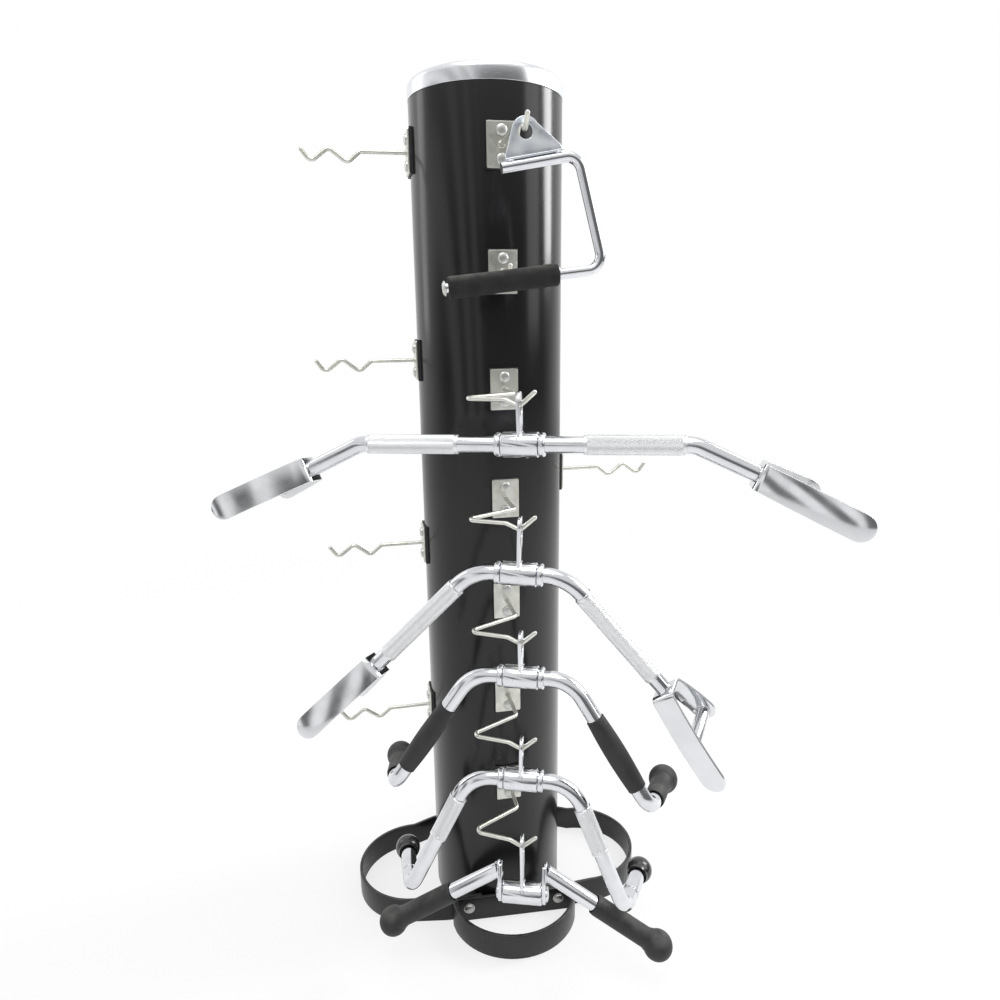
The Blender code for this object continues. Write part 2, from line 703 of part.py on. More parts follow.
def build_small_bar():
    name = "small_bar"
    pivot = hang_pivot(name)
    build_hanger(name, pivot, HUB_RADIUS, BAR_RADIUS + RUNNING_GAP, HUB_LENGTH)
    hub = hub_pivot(name, pivot, SMALL_BAR_LEAN)
    core = tube(bar_path(SMALL_BAR, SMALL_BENDS), BAR_RADIUS, 4)
    origin, direction = arm(SMALL_BAR)
    knee, tip = Vector(SMALL_BAR[1]), Vector(SMALL_BAR[2])
    along = (tip - knee).normalized()
    sleeves = both(rod, origin + direction * SMALL_KNURL[0], origin + direction * SMALL_KNURL[1], KNURL_RADIUS, 16)
    stubs = both(rod, knee + along * 0.042, tip - along * 0.012, BAR_RADIUS + 0.001, 16)
    place(join(core, *collars(), *sleeves, *stubs), name + "_bar", "chrome", hub)
    for side, turn in (("right", Vector), ("left", flip)):
        mouth = turn(tip - along * (0.012 - GAP))
        ball = ball_grip(mouth, turn(along), 0.012, 0.016, BAR_RADIUS, BALL_RADIUS)
        place(ball, name + "_ball_" + side, "black_plastic", hub)


def build_v_handle():
    name = "v_handle"
    pivot = hang_pivot(name)
    length = 2 * (EAR_X - GAP)
    build_hanger(name, pivot, V_HUB_RADIUS, V_PIN_RADIUS + RUNNING_GAP, length)
    hub = hub_pivot(name, pivot)
    upright = Matrix.Rotation(pi / 2, 4, "Z") @ Matrix.Rotation(pi / 2, 4, "X")
    outline = circle(EAR_HALF_WIDTH, (0, -EAR_BOTTOM + EAR_HALF_WIDTH), 8, pi, pi)
    shoulder = EAR_TOP * 0.55
    outline += [(EAR_HALF_WIDTH, shoulder), (0.006, EAR_TOP), (-0.006, EAR_TOP), (-EAR_HALF_WIDTH, shoulder)]
    parts = []
    for side in (-1, 1):
        ear = Matrix.Translation((side * (EAR_X + EAR_THICKNESS / 2), 0, 0)) @ upright
        parts.append(plate([outline], EAR_THICKNESS, ear))
        parts.append(dome(0.012, 0.005, (side * (EAR_X + EAR_THICKNESS), 0, 0), (side, 0, 0), 10))
    start, end = Vector(V_ROD_START), Vector(V_ROD_END)
    rods = both(rod, start, end, V_ROD_RADIUS, 12)
    pin = rod((-EAR_X - 0.002, 0, 0), (EAR_X + 0.002, 0, 0), V_PIN_RADIUS, 12)
    place(join(pin, *parts, *rods), name + "_yoke", "chrome", hub)
    along = (end - start).normalized()
    mouth = start + along * V_GRIP_START
    for side, turn in (("right", Vector), ("left", flip)):
        grip = ball_grip(
            turn(mouth), turn(along), (end - mouth).length, (end - mouth).length - 0.004, V_ROD_RADIUS, V_BALL_RADIUS, 0.0035
        )
        place(grip, name + "_grip_" + side, "rubber", hub)


def build_single_handle():
    """The handle on the top hook: a bent rod under a folded eye plate, with a turning grip."""
    name = "single_handle"
    hook_height = COLUMN_HEIGHT - FRONT_HOOK_DROP
    spot = lowest([point for point in wire_path(WAVY_WIRE) if -point.y > WAVY_WIRE[2][1]])
    matrix = Matrix.Translation(spot + Vector((0, 0, hook_height))) @ Matrix.Rotation(-HANDLE_TURN, 4, "Y")
    pivot = empty(name + "_hang", matrix=matrix)
    (x0, z0), (x1, z1), (x2, z2), (x3, z3) = HANDLE_ROD
    path = rounded([(x0, 0, z0), (x1, 0, z1), (x2, 0, z2), (x3, 0, z3)], HANDLE_BEND, radians(30))
    dome = [(0, HANDLE_BUTTON_HEIGHT), (HANDLE_BUTTON_RADIUS * 0.8, HANDLE_BUTTON_HEIGHT * 0.75), (HANDLE_BUTTON_RADIUS, 0.0), (0, 0)]
    button = turned(dome, 12, (x3, 0, z3), (-1, 0, 0))
    grip_end = HANDLE_GRIP[1]
    washer = rod((grip_end + GAP, 0, z3), (grip_end + HANDLE_WASHER_THICKNESS, 0, z3), HANDLE_WASHER_RADIUS, 12)
    frame = join(tube(path, ROD_RADIUS, 3), button, washer)

    base_z = z0 + ROD_RADIUS + HANDLE_EYE_LIFT
    left, right = HANDLE_EYE_BASE
    hole_z = -(EYE_HOLE - WIRE_RADIUS - HANG_GAP)
    apex = circle(EYE_HOLE + HANDLE_EYE_RIM, (0, hole_z), 6, radians(25), radians(130))
    shoulder = base_z + HANDLE_SHOULDER_HEIGHT
    outline = apex + [(left + HANDLE_SHOULDER_INSET, shoulder), (left, base_z), (right, base_z), (right - HANDLE_SHOULDER_INSET, shoulder)]
    upright = Matrix.Rotation(pi / 2, 4, "X")
    eye = plate([outline, circle(EYE_HOLE, (0, hole_z), 12)], HANDLE_EYE_THICKNESS, upright)
    flange = box((right - left, HANDLE_FLANGE, HANDLE_FLANGE_THICKNESS), ((left + right) / 2, 0, base_z))
    weld_spots = (left + HANDLE_WELD_INSET, right - HANDLE_WELD_INSET)
    welds = [rod((x, 0, z0), (x, 0, base_z), HANDLE_WELD_RADIUS, 10) for x in weld_spots]
    place(join(eye, flange, *welds, frame), name + "_frame", "chrome", pivot)

    inner = ROD_RADIUS + RUNNING_GAP
    outer = HANDLE_GRIP_RADIUS
    length = HANDLE_GRIP[1] - HANDLE_GRIP[0]
    profile = [
        (outer - 0.001, length),
        (outer, length - 0.003),
        (outer - 0.0006, length / 2),
        (outer, 0.003),
        (outer - 0.001, 0),
        (inner, 0),
        (inner, length),
    ]
    axis = empty(name + "_grip_axis", pivot, Matrix.Translation((HANDLE_GRIP[0], 0, z3)))
    place(turned(profile, 16, (0, 0, 0), (1, 0, 0), closed=True), name + "_grip", "rubber", axis)


clear_scene()
rack = make_collection("cable_attachment_rack")
build_column()
build_top()
build_closed_hoop("front", -1)
build_closed_hoop("back", 1)
build_side_hoop("right", 1)
build_side_hoop("left", -1)
build_hooks()
build_single_handle()
build_stirrup_bar("upper_bar", UPPER_BAR, UPPER_BENDS, UPPER_KNURL, UPPER_STIRRUP_TURNS)
build_stirrup_bar("wide_bar", WIDE_BAR, WIDE_BENDS, WIDE_KNURL, WIDE_STIRRUP_TURNS)
build_grip_bar()
build_small_bar()
build_v_handle()
bpy.context.view_layer.update()
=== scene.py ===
from math import acos, cos, pi, radians, sin, tan

import bmesh
import bpy
from mathutils import Matrix, Vector


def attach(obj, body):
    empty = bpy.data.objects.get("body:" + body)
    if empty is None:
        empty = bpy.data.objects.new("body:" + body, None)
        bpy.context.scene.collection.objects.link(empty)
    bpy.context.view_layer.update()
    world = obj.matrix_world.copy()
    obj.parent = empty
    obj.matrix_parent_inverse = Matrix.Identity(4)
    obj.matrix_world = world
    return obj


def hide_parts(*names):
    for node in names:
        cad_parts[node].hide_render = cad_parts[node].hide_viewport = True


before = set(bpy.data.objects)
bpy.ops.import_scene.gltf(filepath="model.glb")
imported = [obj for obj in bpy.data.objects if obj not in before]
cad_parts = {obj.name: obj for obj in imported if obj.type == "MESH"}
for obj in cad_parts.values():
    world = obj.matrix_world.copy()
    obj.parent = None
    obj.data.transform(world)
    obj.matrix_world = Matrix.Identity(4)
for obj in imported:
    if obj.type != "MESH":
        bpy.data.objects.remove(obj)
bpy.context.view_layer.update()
print("frame loaded:", len(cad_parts), "nodes")

gap = 0.0003  # between two pieces that touch
runningGap = 0.0004  # between a bore and what turns in it
upX = Vector((1, 0, 0))


def bakedMesh(obj):
    bpy.context.view_layer.update()
    graph = bpy.context.evaluated_depsgraph_get()
    mesh = bpy.data.meshes.new_from_object(obj.evaluated_get(graph))
    bpy.data.objects.remove(obj, do_unlink=True)
    return mesh


def addObject(name, data):
    obj = bpy.data.objects.new(name, data)
    bpy.context.scene.collection.objects.link(obj)
    return obj


def placed(mesh, matrix):
    mesh.transform(matrix)
    return mesh


def formMesh(form):
    mesh = bpy.data.meshes.new("form")
    form.to_mesh(mesh)
    form.free()
    return mesh


def spin(angle, axis):
    return Matrix.Rotation(angle, 4, axis)


def shift(x, y, z):
    return Matrix.Translation((x, y, z))


def fullTurn(count):
    return [2 * pi * i / count for i in range(count + 1)]


def angles(*degrees):
    return [radians(d) for d in degrees]


def axisMatrix(start, direction):
    turn = Vector((0, 0, 1)).rotation_difference(Vector(direction)).to_matrix().to_4x4()
    return Matrix.Translation(start) @ turn


def rounded(points, bend, turnStep=radians(9)):
    # a path through corner points, with an arc at each inner corner, kept within its neighbours' reach
    points = [Vector(p) for p in points]
    bends = bend if isinstance(bend, (list, tuple)) else [bend] * (len(points) - 2)
    path = [points[0]]
    for i, radius in enumerate(bends, start=1):
        back, ahead = points[i - 1] - points[i], points[i + 1] - points[i]
        toLast, toNext = back.normalized(), ahead.normalized()
        half = acos(max(-1, min(1, toLast.dot(toNext)))) / 2
        if half > radians(88):  # nearly straight on
            path.append(points[i])
            continue
        radius = min(radius, 0.49 * min(back.length, ahead.length) * tan(half))
        center = points[i] + (toLast + toNext).normalized() * radius / sin(half)
        first = points[i] + toLast * radius / tan(half)
        sweep = pi - 2 * half
        normal = (first - center).cross(points[i] + toNext * radius / tan(half) - center)
        count = max(2, round(sweep / turnStep))
        for k in range(count + 1):
            path.append(center + Matrix.Rotation(sweep * k / count, 3, normal) @ (first - center))
    path.append(points[-1])
    return path


def roundedRing(points, bend, turnStep=radians(15)):
    # the same for a closed outline
    points = [Vector(p) for p in points]
    middle = (points[0] + points[-1]) / 2
    return rounded([middle] + points + [middle], bend, turnStep)[:-1]


def lathe(profile, steps=48, start=(0, 0, 0), direction=(0, 0, 1), edge=0.0008, closed=False):
    # (radius, height) pairs turned about an axis, with every corner eased by edge
    path = (roundedRing if closed else rounded)([Vector((r, 0, z)) for r, z in profile], edge, radians(24))
    edges = [(i, (i + 1) % len(path)) for i in range(len(path) - (not closed))]
    mesh = bpy.data.meshes.new("lathe")
    mesh.from_pydata(path, edges, [])
    obj = addObject("loose", mesh)
    screw = obj.modifiers.new("turn", "SCREW")
    screw.steps = screw.render_steps = steps
    screw.use_merge_vertices = True
    screw.merge_threshold = 0.000002
    return placed(bakedMesh(obj), axisMatrix(start, direction))


def addSpline(data, points, closed=False):
    # each point is its place and its share of the curve's radius
    spline = data.splines.new("POLY")
    spline.points.add(len(points) - 1)
    spline.use_cyclic_u = closed
    for point, (co, share) in zip(spline.points, points):
        point.co = (*co, 1)
        point.radius = share


def roundBar(points, radius, resolution):
    data = bpy.data.curves.new("bar", "CURVE")
    data.dimensions = "3D"
    data.bevel_depth = radius
    data.bevel_resolution = resolution
    data.use_fill_caps = True
    addSpline(data, points)
    return bakedMesh(addObject("loose", data))


def tube(path, radius, sides=20, tips=False):
    # a round bar along a path; tips rounds its two ends
    points = [(Vector(p), 1.0) for p in path]
    if tips:
        for end, inner in ((0, 1), (-1, -2)):
            tip = points[end][0]
            inward = (points[inner][0] - tip).normalized()
            cap = [(tip + inward * radius * (1 - sin(a)), cos(a)) for a in angles(84, 62, 40, 18, 0)]
            points = cap + points[1:] if end == 0 else points[:-1] + cap[::-1]
    return roundBar(points, radius, (sides - 4) // 2)


def rod(start, end, radius, edge=0.0006, sides=32):
    span = Vector(end) - Vector(start)
    return lathe([(0, span.length), (radius, span.length), (radius, 0), (0, 0)], sides, start, span, edge)


def pipe(start, end, outer, inner, edge=0.0006, sides=40):
    span = Vector(end) - Vector(start)
    profile = [(outer, span.length), (outer, 0), (inner, 0), (inner, span.length)]
    return lathe(profile, sides, start, span, edge, True)


def dome(radius, height, start, direction, sides=28, depth=0.001):
    # a low round head with an eased rim
    turns = angles(0, 14, 28, 42, 56, 70, 82, 90)
    arc = [(radius * sin(a), height * (0.35 + 0.65 * cos(a))) for a in turns]
    return lathe(arc + [(radius, -depth), (0, -depth)], sides, start, direction, 0.0005)


def eased(obj, width, segments):
    # the object's mesh with its sharp edges rounded off
    bevel = obj.modifiers.new("ease", "BEVEL")
    bevel.width = width
    bevel.segments = segments
    bevel.limit_method = "ANGLE"
    bevel.angle_limit = radians(40)
    bevel.use_clamp_overlap = True
    return bakedMesh(obj)


def hexHead(radius, height, start, direction):
    form = bmesh.new()
    bmesh.ops.create_cone(form, cap_ends=True, segments=6, radius1=radius, radius2=radius, depth=height)
    mesh = eased(addObject("loose", formMesh(form)), 0.0007, 2)
    return placed(mesh, axisMatrix(start, direction) @ shift(0, 0, height / 2))


def block(size, center, edge):
    form = bmesh.new()
    bmesh.ops.create_cube(form, size=1)
    bmesh.ops.scale(form, vec=size, verts=form.verts)
    return placed(eased(addObject("loose", formMesh(form)), edge, 3), Matrix.Translation(center))


def strap(path, across, halfWidths, thickness, edge=0.0012, closed=False):
    # a flat bar bent along a path, with its long edges eased
    across = Vector(across)
    verts, faces = [], []
    for point, half in zip(path, halfWidths):
        verts += [point - across * half, point + across * half]
    count = len(path)
    for i in range(count if closed else count - 1):
        a, b = 2 * i, 2 * ((i + 1) % count)
        faces.append((a, a + 1, b + 1, b))
    mesh = bpy.data.meshes.new("strap")
    mesh.from_pydata(verts, [], faces)
    obj = addObject("loose", mesh)
    thick = obj.modifiers.new("thick", "SOLIDIFY")
    thick.thickness = thickness
    thick.offset = 0
    thick.use_even_offset = True
    return eased(obj, edge, 3)


def plate(outlines, thickness, edge, matrix):
    # a flat plate of the given outlines, the inner ones as holes, with eased edges
    data = bpy.data.curves.new("plate", "CURVE")
    data.dimensions = "2D"
    data.fill_mode = "BOTH"
    data.extrude = thickness / 2 - edge
    data.bevel_depth = edge
    data.bevel_resolution = 2
    data.offset = -edge
    for outline in outlines:
        addSpline(data, [((p[0], p[1], 0), 1) for p in outline], True)
    return placed(bakedMesh(addObject("loose", data)), matrix)


def arcPoints(radius, center=(0, 0), count=24, start=0.0, sweep=2 * pi):
    steps = count if sweep >= 2 * pi else count + 1
    turns = [start + sweep * i / count for i in range(steps)]
    return [(center[0] + radius * cos(a), center[1] + radius * sin(a)) for a in turns]


def bead(path, radius, ripple=0.16):
    # a weld bead: a tube whose girth ripples as the welder's puddles did
    return roundBar([(co, 1 + ripple * sin(i * 2.2)) for i, co in enumerate(path)], radius, 3)


knurl = {"radius": 0.0142, "step": 0.00125, "depth": 0.0004, "plain": 0.004, "rim": 0.0006}


def knurledSleeve(start, end):
    # a sleeve of small four-sided points between two plain turned ends
    span = end - start
    length, radius, plain, rim = span.length, knurl["radius"], knurl["plain"], knurl["rim"]
    around = 2 * round(pi * radius / knurl["step"])
    rows = 2 * round((length - 2 * plain) / knurl["step"] / 2)
    form = bmesh.new()

    def ringAt(z, sunk):
        spots = zip(sunk, fullTurn(around))
        return [form.verts.new(((radius - s) * cos(a), (radius - s) * sin(a), z)) for s, a in spots]

    grid = []
    for j in range(rows + 1):
        sunk = [0 if (i + j) % 2 == 0 and 0 < j < rows else knurl["depth"] for i in range(around)]
        grid.append(ringAt(plain + (length - 2 * plain) * j / rows, sunk))
    for j in range(rows):
        for i in range(around):
            k = (i + 1) % around
            a, b, c, d = grid[j][i], grid[j][k], grid[j + 1][k], grid[j + 1][i]
            for corners in ((a, b, d), (b, c, d)) if (i + j) % 2 == 0 else ((a, b, c), (a, c, d)):
                form.faces.new(corners)
    for last, sign, tip in ((grid[0], -1, 0), (grid[-1], 1, length)):
        for inset, z in ((0, tip - sign * plain * 0.8), (0, tip - sign * rim), (rim, tip)):
            following = ringAt(z, [inset] * around)
            for i in range(around):
                k = (i + 1) % around
                quad = (last[i], last[k], following[k], following[i])
                form.faces.new(quad[::sign])
            last = following
        form.faces.new(last[::sign])
    return placed(formMesh(form), axisMatrix(start, span))


def joined(meshes):
    form = bmesh.new()
    for mesh in meshes:
        form.from_mesh(mesh)
    bmesh.ops.remove_doubles(form, verts=form.verts, dist=0.000001)
    bmesh.ops.recalc_face_normals(form, faces=form.faces)
    return formMesh(form)


def piece(name, meshes, body, finish, matrix=None, replaced=None, crease=radians(38)):
    # joins the meshes under one name, gives the finish and lets the piece ride on its body
    mesh = joined(meshes)
    if matrix:
        mesh.transform(matrix)
    mesh.name = name
    for face in mesh.polygons:
        face.use_smooth = True
    mesh.set_sharp_from_angle(angle=crease)
    obj = addObject(name, mesh)
    mesh.materials.append(finishes[finish])
    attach(obj, body)
    if replaced:
        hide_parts(replaced)


def newGroup(name, inputs, output):
    # the new group, its inputs and the socket that takes its result
    group = bpy.data.node_groups.new(name, "ShaderNodeTree")
    for socket, default in inputs.items():
        made = group.interface.new_socket(socket, in_out="INPUT", socket_type="NodeSocketFloat")
        made.default_value = default
    group.interface.new_socket(output, in_out="OUTPUT", socket_type="NodeSocketFloat")
    return group, group.nodes.new("NodeGroupInput").outputs, group.nodes.new("NodeGroupOutput").inputs[output]


def feed(tree, node, inputs):
    # each value is another node's output, a colour or a number
    for key, value in inputs.items():
        socket = node.inputs[key]
        if isinstance(value, bpy.types.NodeSocket):
            tree.links.new(value, socket)
        else:
            socket.default_value = (*value, 1) if socket.type == "RGBA" else value
    return node


def addNode(tree, kind, inputs=None, **settings):
    node = tree.nodes.new("ShaderNode" + kind)
    for key, value in settings.items():
        setattr(node, key, value)
    return feed(tree, node, inputs or {})


def mathNode(tree, operation, *values, clamp=False):
    return addNode(tree, "Math", dict(enumerate(values)), operation=operation, use_clamp=clamp).outputs[0]


def times(tree, a, b):
    return mathNode(tree, "MULTIPLY", a, b)


def band(tree, value, low, high, curve="SMOOTHSTEP"):
    # 0 below low, 1 above high
    inputs = {"Value": value, "From Min": low, "From Max": high}
    return addNode(tree, "MapRange", inputs, clamp=True, interpolation_type=curve).outputs["Result"]


def noiseIn(tree, scale, stretch=(1, 1, 1), detail=4, roughness=0.55):
    coords = addNode(tree, "TexCoord")
    mapping = addNode(tree, "Mapping", {"Scale": stretch, "Vector": coords.outputs["Object"]})
    inputs = {"Detail": detail, "Roughness": roughness, "Scale": scale, "Vector": mapping.outputs["Vector"]}
    return addNode(tree, "TexNoise", inputs).outputs["Fac"]


def cloudGroup():
    # soft cloudy change over a surface: handling, plating and cleaning marks
    group, ins, out = newGroup("surfaceClouds", {"Scale": 20.0, "Low": 0.4, "High": 0.7}, "Mask")
    clouds = noiseIn(group, ins["Scale"])
    group.links.new(band(group, clouds, ins["Low"], ins["High"], "LINEAR"), out)
    return group


def scratchGroup():
    # fine hairlines that run mostly along the piece's long way
    group, ins, out = newGroup("hairScratches", {"Scale": 60.0, "Amount": 0.3}, "Mask")
    lengthways = noiseIn(group, ins["Scale"], (1, 14, 14), 3, 0.7)
    crossways = noiseIn(group, ins["Scale"], (9, 1, 7), 3, 0.7)
    both = mathNode(group, "MAXIMUM", band(group, lengthways, 0.62, 0.72), band(group, crossways, 0.66, 0.76))
    group.links.new(times(group, both, ins["Amount"]), out)
    return group


def grainGroup():
    # fine surface relief, from orange peel in paint to the skin of rubber
    group, ins, out = newGroup("fineGrain", {"Scale": 900.0, "Fine Scale": 3000.0, "Fine Share": 0.4}, "Height")
    coarse = noiseIn(group, ins["Scale"], detail=2)
    fine = noiseIn(group, ins["Fine Scale"], detail=2)
    share = times(group, fine, ins["Fine Share"])
    group.links.new(mathNode(group, "ADD", coarse, share), out)
    return group


def edgeGroup():
    # wear on outer edges, broken up by noise
    group, ins, out = newGroup("edgeWear", {"Low": 0.53, "High": 0.62, "Breakup": 90.0}, "Mask")
    pointed = addNode(group, "NewGeometry").outputs["Pointiness"]
    outward = band(group, pointed, ins["Low"], ins["High"], "LINEAR")
    broken = band(group, noiseIn(group, ins["Breakup"]), 0.42, 0.66)
    group.links.new(times(group, outward, broken), out)
    return group


def dustGroup():
    # a film of dust on faces that look up
    group, ins, out = newGroup("dustFilm", {"Amount": 0.2, "Scale": 35.0}, "Mask")
    geometry = addNode(group, "NewGeometry")
    split = addNode(group, "SeparateXYZ", {0: geometry.outputs["Normal"]})
    upward = band(group, split.outputs["Z"], 0.35, 0.98)
    patchy = band(group, noiseIn(group, ins["Scale"]), 0.25, 0.75)
    film = times(group, upward, patchy)
    group.links.new(times(group, film, ins["Amount"]), out)
    return group


groups = {
    "clouds": cloudGroup(), "scratches": scratchGroup(), "grain": grainGroup(), "edges": edgeGroup(),
    "dust": dustGroup(),
}


def place(tree, group, **values):
    node = tree.nodes.new("ShaderNodeGroup")
    node.node_tree = groups[group]
    for key, value in values.items():
        node.inputs[key].default_value = value
    return node.outputs[0]


def blendColor(tree, mask, first, second):
    # colour sockets of the Mix node stand at index 6 and 7, and its colour result at 2
    return addNode(tree, "Mix", {0: mask, 6: first, 7: second}, data_type="RGBA").outputs[2]


def newMaterial(name):
    material = bpy.data.materials.new(name)
    material.use_nodes = True
    return material, material.node_tree


def makeFinish(name, row):
    look = {**plainLook, **dict(zip(lookFields, row)), **row[-1]}
    material, tree = newMaterial(name)
    clouds = place(tree, "clouds", Scale=look["cloudScale"], Low=0.38, High=0.68)
    scratches = place(tree, "scratches", Scale=look["scratchScale"], Amount=look["scratches"])
    edges = place(tree, "edges", Low=0.54, High=0.64)
    dust = place(tree, "dust", Amount=look["dust"])
    color = blendColor(tree, clouds, look["color"], look["second"])
    color = blendColor(tree, times(tree, edges, look["wear"]), color, look["bare"])
    color = blendColor(tree, dust, color, look["dustColor"])

    low, high = look["roughness"]
    rough = mathNode(tree, "MULTIPLY_ADD", clouds, high - low, low)
    rough = mathNode(tree, "ADD", rough, times(tree, scratches, look["scratchRoughness"]))
    rough = mathNode(tree, "ADD", rough, times(tree, dust, look["dustRoughness"]), clamp=True)

    grain = place(tree, "grain", **{"Scale": look["grainScale"], "Fine Scale": look["grainScale"] * 3.4})
    height = mathNode(tree, "SUBTRACT", grain, times(tree, scratches, look["scratchDepth"]))
    bump = addNode(tree, "Bump", {"Strength": look["bump"], "Distance": look["bumpDistance"], "Height": height})
    feed(tree, tree.nodes["Principled BSDF"], {
        "Base Color": color, "Roughness": rough, "Normal": bump.outputs["Normal"], "Metallic": look["metal"],
        "Specular IOR Level": look["specular"], "Coat Weight": look["coat"], "Coat Roughness": look["coatRoughness"],
    })
    return material


plainLook = {
    "metal": 0.0, "specular": 0.5, "coat": 0.0, "coatRoughness": 0.05, "scratchScale": 70.0, "scratchRoughness": 0.25,
    "scratchDepth": 0.4, "bumpDistance": 0.0003, "wear": 0.0, "bare": (0.5, 0.5, 0.5), "dustRoughness": 0.6,
    "dustColor": (0.35, 0.34, 0.32),
}
# each finish has one row of these fields, and at its end what differs from the plain look
lookFields = ("slot", "color", "second", "roughness", "cloudScale", "grainScale", "bump", "scratches", "dust")
looks = {
    "columnPaint": ("black_paint", (0.006, 0.006, 0.0065), (0.0085, 0.0085, 0.009), (0.17, 0.22), 6, 260,
        0.06, 0.1, 0.12, {"specular": 0.4}),
    "hoopPaint": ("black_paint", (0.007, 0.007, 0.0075), (0.011, 0.011, 0.012), (0.26, 0.36), 22, 420,
        0.2, 0.3, 0.14, {"wear": 0.5, "bare": (0.16, 0.16, 0.165)}),
    "capPaint": ("black_paint", (0.011, 0.011, 0.012), (0.018, 0.018, 0.019), (0.4, 0.52), 14, 700,
        0.25, 0.35, 0.1, {}),
    "ringChrome": ("chrome", (0.8, 0.81, 0.83), (0.74, 0.76, 0.8), (0.22, 0.3), 16, 180,
        0.03, 0.35, 0.05, {"metal": 1, "scratchScale": 90}),
    "barChrome": ("chrome", (0.73, 0.74, 0.77), (0.67, 0.68, 0.71), (0.1, 0.17), 34, 240,
        0.03, 0.45, 0.05, {"metal": 1, "scratchScale": 110, "wear": 0.12}),
    "knurlChrome": ("chrome", (0.8, 0.81, 0.82), (0.76, 0.77, 0.78), (0.3, 0.36), 160, 900,
        0.2, 0.1, 0.04, {"metal": 1, "dustColor": (0.5, 0.49, 0.46)}),
    "strapChrome": ("chrome", (0.74, 0.75, 0.77), (0.69, 0.7, 0.72), (0.09, 0.16), 26, 300,
        0.03, 0.4, 0.03, {"metal": 1, "scratchScale": 130, "wear": 0.1}),
    "hookZinc": ("zinc", (0.72, 0.72, 0.67), (0.62, 0.62, 0.56), (0.3, 0.44), 60, 800,
        0.14, 0.5, 0.08, {"metal": 1, "wear": 0.2, "bare": (0.8, 0.8, 0.78)}),
    "handleZinc": ("chrome", (0.74, 0.79, 0.86), (0.82, 0.84, 0.84), (0.34, 0.46), 45, 500,
        0.08, 0.4, 0.06, {"metal": 1, "wear": 0.1}),
    "boltSteel": ("zinc", (0.64, 0.65, 0.63), (0.54, 0.55, 0.53), (0.34, 0.46), 120, 900,
        0.1, 0.5, 0.08, {"metal": 1, "wear": 0.2}),
    "gripRubber": ("rubber", (0.016, 0.016, 0.017), (0.027, 0.027, 0.028), (0.5, 0.66), 55, 1300,
        0.45, 0.1, 0.22, {"specular": 0.4, "wear": 0.25, "bare": (0.06, 0.06, 0.06)}),
    "foamRubber": ("rubber", (0.014, 0.014, 0.014), (0.024, 0.024, 0.024), (0.74, 0.88), 80, 1700,
        0.8, 0.05, 0.3, {"specular": 0.25}),
    "ballPlastic": ("black_plastic", (0.01, 0.01, 0.011), (0.016, 0.016, 0.017), (0.14, 0.24), 70, 600,
        0.07, 0.4, 0.1, {"coat": 0.2}),
    "padPlastic": ("black_plastic", (0.012, 0.012, 0.012), (0.02, 0.02, 0.02), (0.42, 0.56), 90, 1400,
        0.35, 0.2, 0.15, {}),
}
finishes = {name: makeFinish(name, row) for name, row in looks.items()}
print("finishes:", len(finishes))


# the column, its bright ring and the cap inside it
column = {"radius": 0.125, "wall": 0.003, "height": 1.464, "sides": 160}
ring = {
    "height": 0.028, "width": 0.020, "round": 0.011, "spigot": 0.015, "overhang": 0.0008,
    "cap": 0.004, "groove": (0.012, 0.009, 0.006), "grooveDepth": 0.0012,
}


def makeColumn():
    r, wall, top, sides = column["radius"], column["wall"], column["height"], column["sides"]
    shell = lathe([(0, wall), (r - wall, wall), (r - wall, top), (r, top), (r, 0), (0, 0)], sides)
    piece("column", [shell], "rack", "columnPaint", replaced="column_tube")
    bottom = top + gap
    crown = bottom + ring["height"]
    outer = r + ring["overhang"]
    inner = outer - ring["width"]
    spigot = r - wall - 2 * gap
    low = bottom - ring["spigot"]
    ledge = crown - ring["round"] / 3 - ring["cap"] - 2 * gap
    profile = arcPoints(ring["round"], (outer - ring["round"], crown - ring["round"]), 12, pi / 2, -pi / 2)
    profile += [
        (outer, bottom), (spigot, bottom), (spigot, low), (inner - ring["cap"], low),
        (inner - ring["cap"], ledge), (inner, ledge), (inner, crown),
    ]
    piece("topRing", [lathe(profile, sides, edge=0.0007, closed=True)], "rack", "ringChrome", replaced="top_ring")
    under = ledge + gap
    face = under + ring["cap"]
    a, b, c = (inner - inset for inset in ring["groove"])
    cap = [(0, face), (a, face), (b, face - ring["grooveDepth"]), (c, face)]
    cap += [(inner - gap, face), (inner - gap, under), (0, under)]
    piece("topCap", [lathe(cap, sides, edge=0.0006)], "rack", "capPaint", replaced="top_cap")


makeColumn()
print("column, ring and cap")


# the foot: closed hoops before and behind, open hoops at the sides
foot = {
    "height": 0.050, "thickness": 0.006, "turn": radians(-3.4), "edge": 0.0013,
    "closedOffset": 0.015, "closedHalf": 0.1215, "closedReach": 0.2315, "closedToe": 0.115, "closedCorner": 0.009,
    "sideOffset": -0.010, "sideHalf": 0.109, "sideReach": 0.2835, "sideToe": 0.112,
    "legStart": 0.047, "legStraight": 0.114, "legBend": 0.12,
    "boltX": 0.087, "boltZ": 0.028, "boltRadius": 0.004, "headRadius": 0.0085, "headHeight": 0.005,
    "nut": 0.006, "shankPast": 0.008, "washerRim": 0.0022, "washer": 0.0012,
}


footMatrix = spin(foot["turn"], "Z") @ shift(0, 0, foot["height"] / 2)


def addHoop(name, node, path, closed):
    halves = [foot["height"] / 2] * len(path)
    bent = strap(path, (0, 0, 1), halves, foot["thickness"], foot["edge"], closed)
    piece(name, [bent], "rack", "hoopPaint", footMatrix, node)


def flip(point):
    return Vector((-point[0], point[1], point[2]))


bothSides = (("Right", Vector), ("Left", flip))


